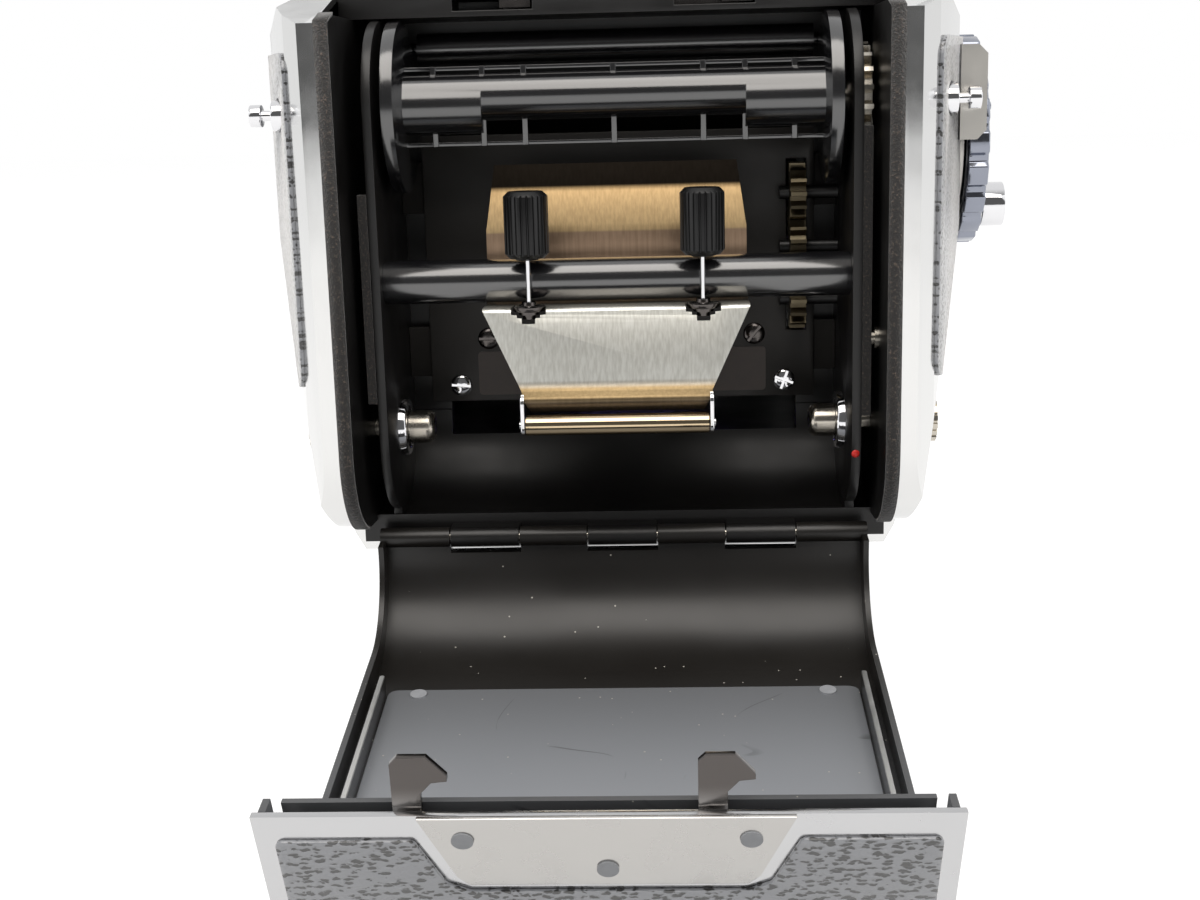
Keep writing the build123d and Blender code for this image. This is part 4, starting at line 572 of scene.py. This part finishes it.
# %% Lens glass and ground glass
def glass(name, colour, roughness, coating):
    """Clear glass with a thin violet coating of a given weight."""
    clear_glass = {"Base Color": srgb(colour), "Transmission Weight": 1.0, "IOR": 1.52,
                   "Coat Weight": coating, "Coat Tint": srgb("B9A4F0")}
    material, tree, shader = new_material(name, clear_glass)
    grind = add_node(tree, "ShaderNodeTexNoise", values={"Scale": mm_scale(0.3), "Detail": 2.0},
                     links={"Vector": object_place(tree)})
    rough = add_node(tree, "ShaderNodeMapRange",
                     values={"To Min": roughness, "To Max": roughness * 1.4},
                     links={"Value": grind.outputs[0]})
    tree.links.new(rough.outputs[0], shader.inputs["Roughness"])
    return material


lens_glass = glass("Coated lens glass", "F2F2FA", 0.01, 0.4)
ground_glass = glass("Ground glass", "E6E8E2", 0.45, 0.0)

# %% [markdown]
# ## Paint, labels and rivets
# The index dot is a drop of red paint. The small labels on the pressure plate are brown
# lacquered foil, left bare here, and the door's rivets are enamelled a paler grey than their
# sheet. All three have a slight mottle, as printing and paint have.

# %% Paint
def paint(name, colour, shade, roughness):
    material, tree, shader = new_material(name, {"Roughness": roughness})
    mottle = add_node(tree, "ShaderNodeTexNoise", values={"Scale": mm_scale(1.5), "Detail": 3.0},
                      links={"Vector": object_place(tree)})
    mix = add_node(tree, "ShaderNodeMix", data_type="RGBA",
                   values={6: srgb(shade), 7: srgb(colour)}, links={0: mottle.outputs[0]})
    tree.links.new(mix.outputs[2], shader.inputs["Base Color"])
    return material


red_paint = paint("Red index paint", "E02A20", "A81812", 0.35)
label_lacquer = paint("Brown lacquered foil", "33251B", "271C15", 0.4)
rivet_enamel = paint("Grey rivet enamel", "9C9EA2", "84868A", 0.4)

# %% [markdown]
# ## Handing a piece over
# A finished piece has a material and rides on the body of a CAD node. Some pieces also stand
# for their node, which is then hidden.

# %% Helpers for a finished piece
node_slot = {part["node"]: part["material_slot"] for part in frame["record"]["subparts"]}


def coat(piece, finish):
    """Gives a piece one material alone."""
    piece.data.materials.clear()
    piece.data.materials.append(finish)


def settle(piece, carrier, replaces=False):
    """Lets a piece ride with the body of a CAD node, and stand for the node if it replaces it."""
    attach(piece, nodes[carrier]["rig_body"])
    if replaces:
        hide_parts(carrier)
    print(piece.name, "faces", len(piece.data.polygons))


print("nodes with a slot", len(node_slot))

# %% [markdown]
# ## Softened edges
# CAD edges are knife sharp, but a real edge has a small radius that catches the light. A copy
# of the node is merged, its flat faces are joined, and a bevel rounds the edges. The copy
# then stands for the node, and rides on the same body.

# %% Helpers for softening edges
def edit(piece):
    select_only(piece)
    bpy.ops.object.mode_set(mode="EDIT")


def done(smooth_angle=40):
    bpy.ops.object.mode_set(mode="OBJECT")
    bpy.ops.object.shade_smooth_by_angle(angle=radians(smooth_angle))


def cad_copy(node, name):
    """A merged copy of a CAD node with its flat faces joined, left in edit mode."""
    copy = bpy.data.objects.new(name, nodes[node].data.copy())
    bpy.context.scene.collection.objects.link(copy)
    edit(copy)
    bpy.ops.mesh.customdata_custom_splitnormals_clear()
    bpy.ops.mesh.select_all(action="SELECT")
    bpy.ops.mesh.remove_doubles(threshold=0.003 * MM)
    bpy.ops.mesh.dissolve_limited(angle_limit=radians(0.4))
    return copy


def select_edges(piece, wanted):
    """Selects the edges for which wanted(edge) is true, on a piece in edit mode."""
    bpy.ops.mesh.select_mode(type="EDGE")
    bpy.ops.mesh.select_all(action="DESELECT")
    shape = bmesh.from_edit_mesh(piece.data)
    for edge in shape.edges:
        edge.select_set(wanted(edge))
    bmesh.update_edit_mesh(piece.data)


def round_edges(piece, width, sharper_than, blunter_than=181, segments=2):
    """Bevels the edges whose faces turn by an angle between two limits, in degrees.

    The usual upper limit is past a half turn, so that it takes in the sharpest edges.
    """
    low, high = radians(sharper_than), radians(blunter_than)
    select_edges(piece, lambda edge: low < edge.calc_face_angle(0) < high)
    bpy.ops.mesh.bevel(offset=width * MM, segments=segments, affect="EDGES", clamp_overlap=True)


# %% [markdown]
# ## Covers, plates and knobs
# Sheet metal and leather have edges of a few tenths of a millimetre. The blunt ridges of the
# two side covers were buffed much rounder, so they get a wider bevel first.

# %% Softened copies of CAD nodes
def softened(node, finish, width, ridge=0.0):
    """A copy of a node with rounded edges, and wider rounding on its blunt ridges."""
    piece = cad_copy(node, node + "_finished")
    if ridge:
        round_edges(piece, ridge, sharper_than=5, blunter_than=60, segments=4)
    round_edges(piece, width, sharper_than=60 if ridge else 35)
    done()
    coat(piece, finish)
    settle(piece, node, replaces=True)


softened("right_side_shell", polished_steel, 0.25, ridge=1.4)
softened("left_side_shell", polished_steel, 0.25, ridge=1.4)
for node, finish, width in (
        ("hood_frame", polished_steel, 0.4), ("front_plate", polished_steel, 0.4),
        ("guide_rod", satin_lacquer, 0.1), ("door_hooks", hook_steel, 0.12),
        ("door_shell", hazed_steel, 0.35), ("pressure_plate", plate_coating, 0.2),
        ("door_leathers", leather, 0.15), ("body_leathers", leather, 0.15),
        ("right_spool_plate", baked_enamel, 0.25), ("left_spool_plate", baked_enamel, 0.25),
        ("take_up_spool", moulded_plastic, 0.12), ("latch_plate", worn_steel, 0.12),
        ("wind_knob", grey_anodised, 0.2), ("wind_crank", chrome, 0.3),
        ("strap_lugs", chrome, 0.15)):
    softened(node, finish, width)

# %% [markdown]
# ## Top plate
# Only the upper face of the top plate is polished. Its rear edge and the pockets for the
# door's hooks are black. The copy gets a second material on every face that looks aside or
# lies below the upper one.

# %% Top plate
top_plate = cad_copy("top_plate", "top_plate_finished")
round_edges(top_plate, 0.15, sharper_than=35)
done()
coat(top_plate, satin_steel)
top_plate.data.materials.append(baked_enamel)
top = max(vertex.co.z for vertex in top_plate.data.vertices)
for face in top_plate.data.polygons:
    if face.normal.z < 0.9 or face.center.z < top - 0.2 * MM:
        face.material_index = 1
settle(top_plate, "top_plate", replaces=True)

# %% [markdown]
# ## Turned pieces
# Knobs, nuts, screws and collars are turned on a lathe. By hand, that is a circle, filled,
# then extruded and scaled again and again up the profile. One function does this from a list
# of (height, radius) steps, and lays the piece along the axis that it turns about.

# %% Turned pieces
def turned(name, steps, place, axis="Z", sides=48):
    """A lathe piece from (height, radius) steps in millimetres, on an axis through place."""
    height, radius = steps[0]
    bpy.ops.mesh.primitive_circle_add(vertices=sides, radius=radius * MM, fill_type="NGON",
                                      location=(0, 0, 0))
    piece = bpy.context.object
    piece.name = name
    edit(piece)
    bpy.ops.mesh.select_all(action="SELECT")
    bpy.ops.transform.translate(value=(0, 0, height * MM))
    for (low, near), (high, far) in zip(steps, steps[1:]):
        bpy.ops.mesh.extrude_region_move(
            TRANSFORM_OT_translate={"value": (0, 0, (high - low) * MM)})
        bpy.ops.transform.resize(value=(far / near, far / near, 1),
                                 center_override=(0, 0, high * MM))
    bpy.ops.mesh.select_all(action="SELECT")
    bpy.ops.mesh.normals_make_consistent(inside=False)
    done()
    along = {"Z": Matrix.Identity(4), "X": Matrix.Rotation(pi / 2, 4, "Y"),
             "-X": Matrix.Rotation(-pi / 2, 4, "Y"), "-Y": Matrix.Rotation(pi / 2, 4, "X")}[axis]
    piece.data.transform(Matrix.Translation([v * MM for v in place]) @ along)
    return piece


def joined(name, pieces):
    """Joins pieces into the first one, keeping their materials."""
    select_only(pieces[0])
    for other in pieces[1:]:
        other.select_set(True)
    bpy.ops.object.join()
    pieces[0].name = name
    return pieces[0]


# %% [markdown]
# ## Adjusters
# Each adjuster is a knurled knob over the rod, a bright wire stem and a dark flanged nut in a
# notch of the spring plate. The knob is the upper part of the CAD node, cut off at its foot.

# %% Adjusters
rod_low, rod_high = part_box("guide_rod")
rod_top = rod_high.z / MM
adjuster_x, adjuster_y = 12.6, -40.0
lip_z = 38.05  # height of the spring plate's lip, which the nuts sit in
knob_foot = rod_top + 0.5
for side, node in ((-1, "adjuster_left"), (1, "adjuster_right")):
    place = (side * adjuster_x, adjuster_y, 0)
    knob = cad_copy(node, node + "_knob")
    bpy.ops.mesh.bisect(plane_co=(0, 0, knob_foot * MM), plane_no=(0, 0, -1), use_fill=True,
                        clear_outer=True)
    round_edges(knob, 0.08, sharper_than=40)
    done()
    collar = turned("collar", [(rod_top + 0.1, 0.7), (rod_top + 0.12, 1.5), (rod_top + 0.45, 2.2),
                               (rod_top + 0.6, 2.4)], place)
    nut = turned("nut", [(lip_z - 1.5, 0.8), (lip_z - 1.45, 0.95), (lip_z - 0.85, 0.95),
                         (lip_z - 0.8, 1.5), (lip_z - 0.4, 1.55), (lip_z - 0.3, 2.2),
                         (lip_z, 2.4), (lip_z + 0.35, 2.4), (lip_z + 0.5, 2.2),
                         (lip_z + 0.55, 1.1), (lip_z + 1.0, 1.0), (lip_z + 1.05, 0.5)],
                 place, sides=32)
    stem = turned("stem", [(lip_z, 0.35), (lip_z + 3.0, 0.32), (knob_foot, 0.35)], place, sides=16)
    for part, finish in ((knob, black_anodised), (collar, black_anodised), (nut, hook_steel),
                         (stem, chrome)):
        coat(part, finish)
    adjuster = joined(node + "_finished", [knob, collar, nut, stem])
    settle(adjuster, node, replaces=True)

# %% [markdown]
# ## Sheet metal by hand
# A bent sheet is a ribbon. A plane is stood up as its first stretch, and its far edge is
# extruded from bend to bend along the side view. Slanted cuts trim its sides, and Solidify
# gives it the sheet's thickness.

# %% Sheet helpers
def select_line(sheet, point):
    """Selects the crosswise edge of a ribbon at a (y, z) point."""
    reach = 0.02
    select_edges(sheet, lambda edge: all(
        abs(v.co.y / MM - point[0]) < reach and abs(v.co.z / MM - point[1]) < reach
        for v in edge.verts))


def ribbon(name, side_view, half_width):
    """A sheet without thickness along (y, z) points, in millimetres, left in edit mode."""
    bpy.ops.mesh.primitive_plane_add(size=1, location=(0, 0, 0))
    sheet = bpy.context.object
    sheet.name = name
    for vertex in sheet.data.vertices:
        y, z = side_view[0] if vertex.co.y < 0 else side_view[1]
        side = 1 if vertex.co.x > 0 else -1
        vertex.co = (side * half_width * MM, y * MM, z * MM)
    edit(sheet)
    select_line(sheet, side_view[1])
    for start, end in zip(side_view[1:], side_view[2:]):
        step = (0, (end[0] - start[0]) * MM, (end[1] - start[1]) * MM)
        bpy.ops.mesh.extrude_region_move(TRANSFORM_OT_translate={"value": step})
    return sheet


def trim_sides(sheet, low, high):
    """Cuts both sides back to a slanted line through two (half width, z) points."""
    run, rise = high[0] - low[0], high[1] - low[1]
    for side in (-1, 1):
        bpy.ops.mesh.select_all(action="SELECT")
        bpy.ops.mesh.bisect(plane_co=(side * low[0] * MM, 0, low[1] * MM),
                            plane_no=Vector((side * rise, 0, -run)).normalized(),
                            clear_outer=True)


def thicken(sheet, thickness, offset):
    """Gives a sheet a thickness in millimetres, centred at offset 0 and outwards at 1."""
    wall = sheet.modifiers.new("wall", "SOLIDIFY")
    wall.thickness = thickness * MM
    wall.offset = offset
    select_only(sheet)
    bpy.ops.object.modifier_apply(modifier=wall.name)


# %% [markdown]
# ## Spring plate
# The film is pressed flat by a plate bent from one brushed steel sheet. It runs down behind
# the rod, comes out under it as a lip that the nuts sit in, and slants down as a flap whose
# foot curls in. The bends are bevelled round, each with its own radius.

# %% Spring plate
half_width = 19.3
plate_top, plate_foot = (-29.0, 58.2), (-44.3, 23.8)
plate_bends = [((-31.6, 47.8), 1.6), ((-31.6, lip_z), 0.9), ((-41.2, lip_z), 0.5),
               ((-43.3, 26.9), 1.0), ((-45.3, 25.4), 0.6)]
side_view = [plate_top] + [place for place, radius in plate_bends] + [plate_foot]
spring_plate = ribbon("spring_plate_finished", side_view, half_width)
for place, radius in plate_bends:
    select_line(spring_plate, place)
    bpy.ops.mesh.bevel(offset=radius * MM, segments=5, affect="EDGES")
trim_sides(spring_plate, (13.1, 25.0), (half_width, 38.0))
trim_sides(spring_plate, (half_width, 48.5), (18.0, 58.2))
done(smooth_angle=60)
thicken(spring_plate, 0.5, offset=0.0)
print("spring plate sheet faces", len(spring_plate.data.polygons))

# %% [markdown]
# ## Notches for the nuts
# Each nut sits in a stepped notch that is open at the lip's edge. A turned cutter follows the
# nut's profile, its outer half is pulled outwards so that it reaches past the sheet, and a
# Boolean modifier takes it away from the sheet.

# %% Notches
def cut_away(piece, cutter):
    """Cuts a closed shape out of a piece and removes the shape."""
    cut = piece.modifiers.new("cut", "BOOLEAN")
    cut.operation = "DIFFERENCE"
    cut.object = cutter
    cut.solver = "EXACT"
    select_only(piece)
    bpy.ops.object.modifier_apply(modifier=cut.name)
    bpy.data.objects.remove(cutter)


notch_steps = [(lip_z - 2.0, 1.2), (lip_z - 1.2, 1.2), (lip_z - 1.15, 1.8), (lip_z - 0.75, 1.8),
               (lip_z - 0.7, 2.6), (lip_z + 2.0, 2.6)]
for side in (-1, 1):
    cutter = turned("notch_cutter", notch_steps, (side * adjuster_x, adjuster_y, 0))
    for vertex in cutter.data.vertices:
        outward = adjuster_y * MM - vertex.co.y
        if outward > 0:
            vertex.co.y -= 1.5 * outward
    cut_away(spring_plate, cutter)
crisp = spring_plate.modifiers.new("crisp", "BEVEL")
crisp.width = 0.08 * MM
crisp.segments = 2
crisp.limit_method = "ANGLE"
crisp.angle_limit = radians(50)
bpy.ops.object.modifier_apply(modifier="crisp")
bpy.ops.object.shade_smooth_by_angle(angle=radians(40))
print("notched plate faces", len(spring_plate.data.polygons))

# %% [markdown]
# ## Ears for the roller
# Two rounded tabs at the plate's foot hold the tension roller, and the roller's pin ends in a
# small riveted head outside each. A tab is a block, stretched thin, with its corners bevelled.

# %% Ears for the roller
def block_piece(name, size, middle):
    """A block of a size in millimetres about its middle, left in edit mode."""
    bpy.ops.object.select_all(action="DESELECT")
    bpy.ops.mesh.primitive_cube_add(size=1, location=(0, 0, 0))
    piece = bpy.context.object
    piece.name = name
    edit(piece)
    bpy.ops.transform.resize(value=[v * MM for v in size])
    bpy.ops.transform.translate(value=[v * MM for v in middle])
    return piece


def round_corners(piece, axis, radius, segments):
    """Bevels the edges of a block that run along an axis, "x" or "y"."""
    def runs_along(edge):
        start, end = [getattr(vertex.co, axis) for vertex in edge.verts]
        return abs(end - start) > 0.05 * MM

    select_edges(piece, runs_along)
    bpy.ops.mesh.bevel(offset=radius * MM, segments=segments, affect="EDGES")


def roller_ear(side):
    """A rounded tab on one side of the plate's foot, with the head of the roller's pin."""
    ear_x, ear_y, ear_z = 13.55, -45.2, 23.4
    roller_y, roller_z = -45.4, 21.9
    ear = block_piece("ear", (0.55, 2.7, 6.0), (side * ear_x, ear_y, ear_z))
    round_corners(ear, "x", 1.25, 6)
    round_edges(ear, 0.1, sharper_than=60)
    done()
    pin = turned("pin", [(0.0, 0.62), (0.25, 0.6), (0.35, 0.4)],
                 (side * (ear_x + 0.25), roller_y, roller_z), "X" if side > 0 else "-X", 24)
    ear = joined("ear", [ear, pin])
    coat(ear, chrome)
    return ear


coat(spring_plate, brushed_steel)
spring_plate = joined("spring_plate_finished", [spring_plate, roller_ear(-1), roller_ear(1)])
settle(spring_plate, "spring_plate", replaces=True)

# %% [markdown]
# ## Screws of the pressure plate
# The two lower screws are bright, one with a slot and one with a cross, and the two upper
# ones are blackened. A thin block cuts the slot out of a turned head. The same cut makes the
# slots of the large screws at the ends of the guide rod.

# %% Screws
def cut_slot(screw, centre, size, angle, about="Y"):
    """Cuts a block of a size in millimetres out of a screw, turned about an axis."""
    bpy.ops.object.select_all(action="DESELECT")
    bpy.ops.mesh.primitive_cube_add(size=1, location=(0, 0, 0))
    cutter = bpy.context.object
    cutter.data.transform(Matrix.Translation([v * MM for v in centre])
                          @ Matrix.Rotation(radians(angle), 4, about)
                          @ Matrix.Diagonal([v * MM for v in size] + [1]))
    cut_away(screw, cutter)


plate_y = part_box("pressure_plate")[0].y / MM
screw_head = [(0.0, 1.7), (0.2, 1.7), (0.42, 1.5), (0.58, 1.15), (0.66, 0.7), (0.69, 0.2)]
screws = []
for x, z, finish, angles in ((-25.8, 23.1, chrome, (5,)), (25.8, 23.1, chrome, (20, 110)),
                             (-21.1, 30.6, hook_steel, (0,)), (21.1, 30.6, hook_steel, (-50,))):
    screw = turned("screw", screw_head, (x, plate_y, z), "-Y", 32)
    for angle in angles:
        cut_slot(screw, (x, plate_y - 0.7, z), (5, 0.6, 0.42), angle)
    coat(screw, finish)
    screws.append(screw)
rod_y, rod_z = [(low + high) / 2 / MM for low, high in zip(rod_low, rod_high)][1:]
rod_end, head_height = 35.4, 1.6
for side, axis in ((-1, "-X"), (1, "X")):
    screw = turned("rod_screw", [(0.0, 3.0), (1.3, 3.0), (head_height, 2.7), (head_height, 0.5)],
                   (side * rod_end, rod_y, rod_z), axis)
    cut_slot(screw, (side * (rod_end + head_height), rod_y, rod_z), (1.4, 8, 0.8), 15, "X")
    coat(screw, chrome)
    screws.append(screw)
screws = joined("chamber_screws_finished", screws)
select_only(screws)
bpy.ops.object.shade_smooth_by_angle(angle=radians(35))
settle(screws, "chamber_screws", replaces=True)

# %% [markdown]
# ## Flock seals on the casting
# A strip of flock lies on the rear edge of the casting, all round the opening, where the
# shut door meets it. The edge's own faces are copied, and Solidify makes them a strip.

# %% Flock seals
wall_inside, wall_outside, wall_rear = 38 * MM, 40 * MM, -30 * MM
seals = cad_copy("chamber_casting", "flock_seals")
shape = bmesh.from_edit_mesh(seals.data)
for face in shape.faces:
    middle = face.calc_center_median()
    in_wall = wall_inside < abs(middle.x) < wall_outside and middle.y < wall_rear
    looks_back = abs(face.normal.x) < 0.3 and face.normal.y < -0.25
    face.select_set(not (in_wall and looks_back))
bmesh.update_edit_mesh(seals.data)
bpy.ops.mesh.select_mode(type="FACE")
bpy.ops.mesh.delete(type="FACE")
done(smooth_angle=60)
thicken(seals, 0.45, offset=1.0)
coat(seals, flock)
settle(seals, "chamber_casting")

# %% [markdown]
# ## Labels and index dot
# Two small foil labels sit on the pressure plate beside the spring, and are left bare. A drop
# of red paint on the right plate marks where the film's start line goes.

# %% Labels and index dot
label_x, label_z = 16.6, 25.0
dot_place = (34.6, -40.35, 15.8)


def label(side):
    """A thin foil with rounded corners on the pressure plate."""
    foil = block_piece("label", (12.6, 0.12, 7.0), (side * label_x, plate_y - 0.05, label_z))
    round_corners(foil, "y", 0.6, 4)
    done()
    return foil


labels = joined("bare_labels", [label(-1), label(1)])
coat(labels, label_lacquer)
settle(labels, "pressure_plate")
dot = turned("index_dot", [(0.0, 0.6), (0.12, 0.55), (0.2, 0.4), (0.24, 0.2)], dot_place,
             "-Y", 24)
coat(dot, red_paint)
settle(dot, "right_spool_plate")

# %% [markdown]
# ## Chrome collars
# A chromed collar stands round each supply pin, on the inside of its plate. The CAD has the
# bush as part of the black plate, so a thin turned collar slips over it.

# %% Chrome collars
supply_y, supply_z = -28.0, 18.5
spool_plate_x = 34.0
collar_steps = [(0.0, 4.45), (0.95, 4.4), (1.2, 4.2), (1.25, 3.4), (1.0, 3.2)]
collars = [turned("collar", collar_steps, (side * spool_plate_x, supply_y, supply_z), axis, 64)
           for side, axis in ((-1, "X"), (1, "-X"))]
collars = joined("supply_collars", collars)
coat(collars, chrome)
settle(collars, "right_spool_plate")

# %% [markdown]
# ## Door lining
# A separate sheet is riveted over the flat of the door's liner, and its rubbed edge crosses
# just above the rivets. The two guide ribs are worn bright along their tops. Both are drawn
# with the door shut and then let down about its hinge, as in the CAD.

# %% Door lining
hinge_y, hinge_z, open_angle = -34.7, 2.5, 99.1
liner_y = -50.0  # inner face of the liner while the door is shut


def flat_strip(name, low, high, corner):
    """A slab between two corners of the shut door, rounded flat on, then let down."""
    slab = block_piece(name, [b - a for a, b in zip(low, high)],
                       [(a + b) / 2 for a, b in zip(low, high)])
    round_corners(slab, "y", corner, 4)
    round_edges(slab, 0.05, sharper_than=80, segments=1)
    done()
    hinge = Matrix.Translation((0, hinge_y * MM, hinge_z * MM))
    slab.data.transform(hinge @ Matrix.Rotation(radians(open_angle), 4, "X") @ hinge.inverted())
    return slab


lining_x, rib_x = 33.9, 34.4
rib_half, rib_crest = 0.36, liner_y + 3.1
lining = flat_strip("door_lining", (-lining_x, liner_y - 0.02, 22.6),
                    (lining_x, liner_y + 0.16, 74.0), 1.5)
coat(lining, lining_enamel)
settle(lining, "door_liner")
rib_tops = joined("rib_tops", [
    flat_strip("rib_top", (x - rib_half, rib_crest, 24.0),
               (x + rib_half, rib_crest + 0.32, 76.0), 0.3)
    for x in (-rib_x, rib_x)])
coat(rib_tops, worn_rim)
settle(rib_tops, "door_liner")

# %% [markdown]
# ## Finishes for the CAD nodes
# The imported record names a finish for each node. Most nodes take the material that matches
# that name, and a few of them show something more particular in the photograph.

# %% Assign the finishes
slot_finish = {
    "black_enamel": baked_enamel, "polished_steel": polished_steel, "black_leather": leather,
    "steel": turned_steel, "black_felt": flock, "black_satin": satin_lacquer,
    "dark_plate": plate_coating, "black_plastic": moulded_plastic, "black_knob": black_anodised,
    "chrome": chrome, "satin_steel": satin_steel, "brushed_steel": brushed_steel,
    "hook_steel": hook_steel, "mirror_glass": silvered_glass, "ground_glass": ground_glass,
    "optical_glass": lens_glass, "brass": cut_brass,
}
node_finish = {"door_liner": door_enamel, "door_rivets": rivet_enamel, "latch_bar": hook_steel,
               "wind_knob_seat": satin_steel, "tension_roller": roller_steel_painted_tan}
for name, node in nodes.items():
    finish = node_finish.get(name, slot_finish[node_slot[name]])
    if not node.material_slots:
        node.data.materials.append(finish)
    for slot in node.material_slots:
        slot.material = finish
print("finished nodes", len(nodes))
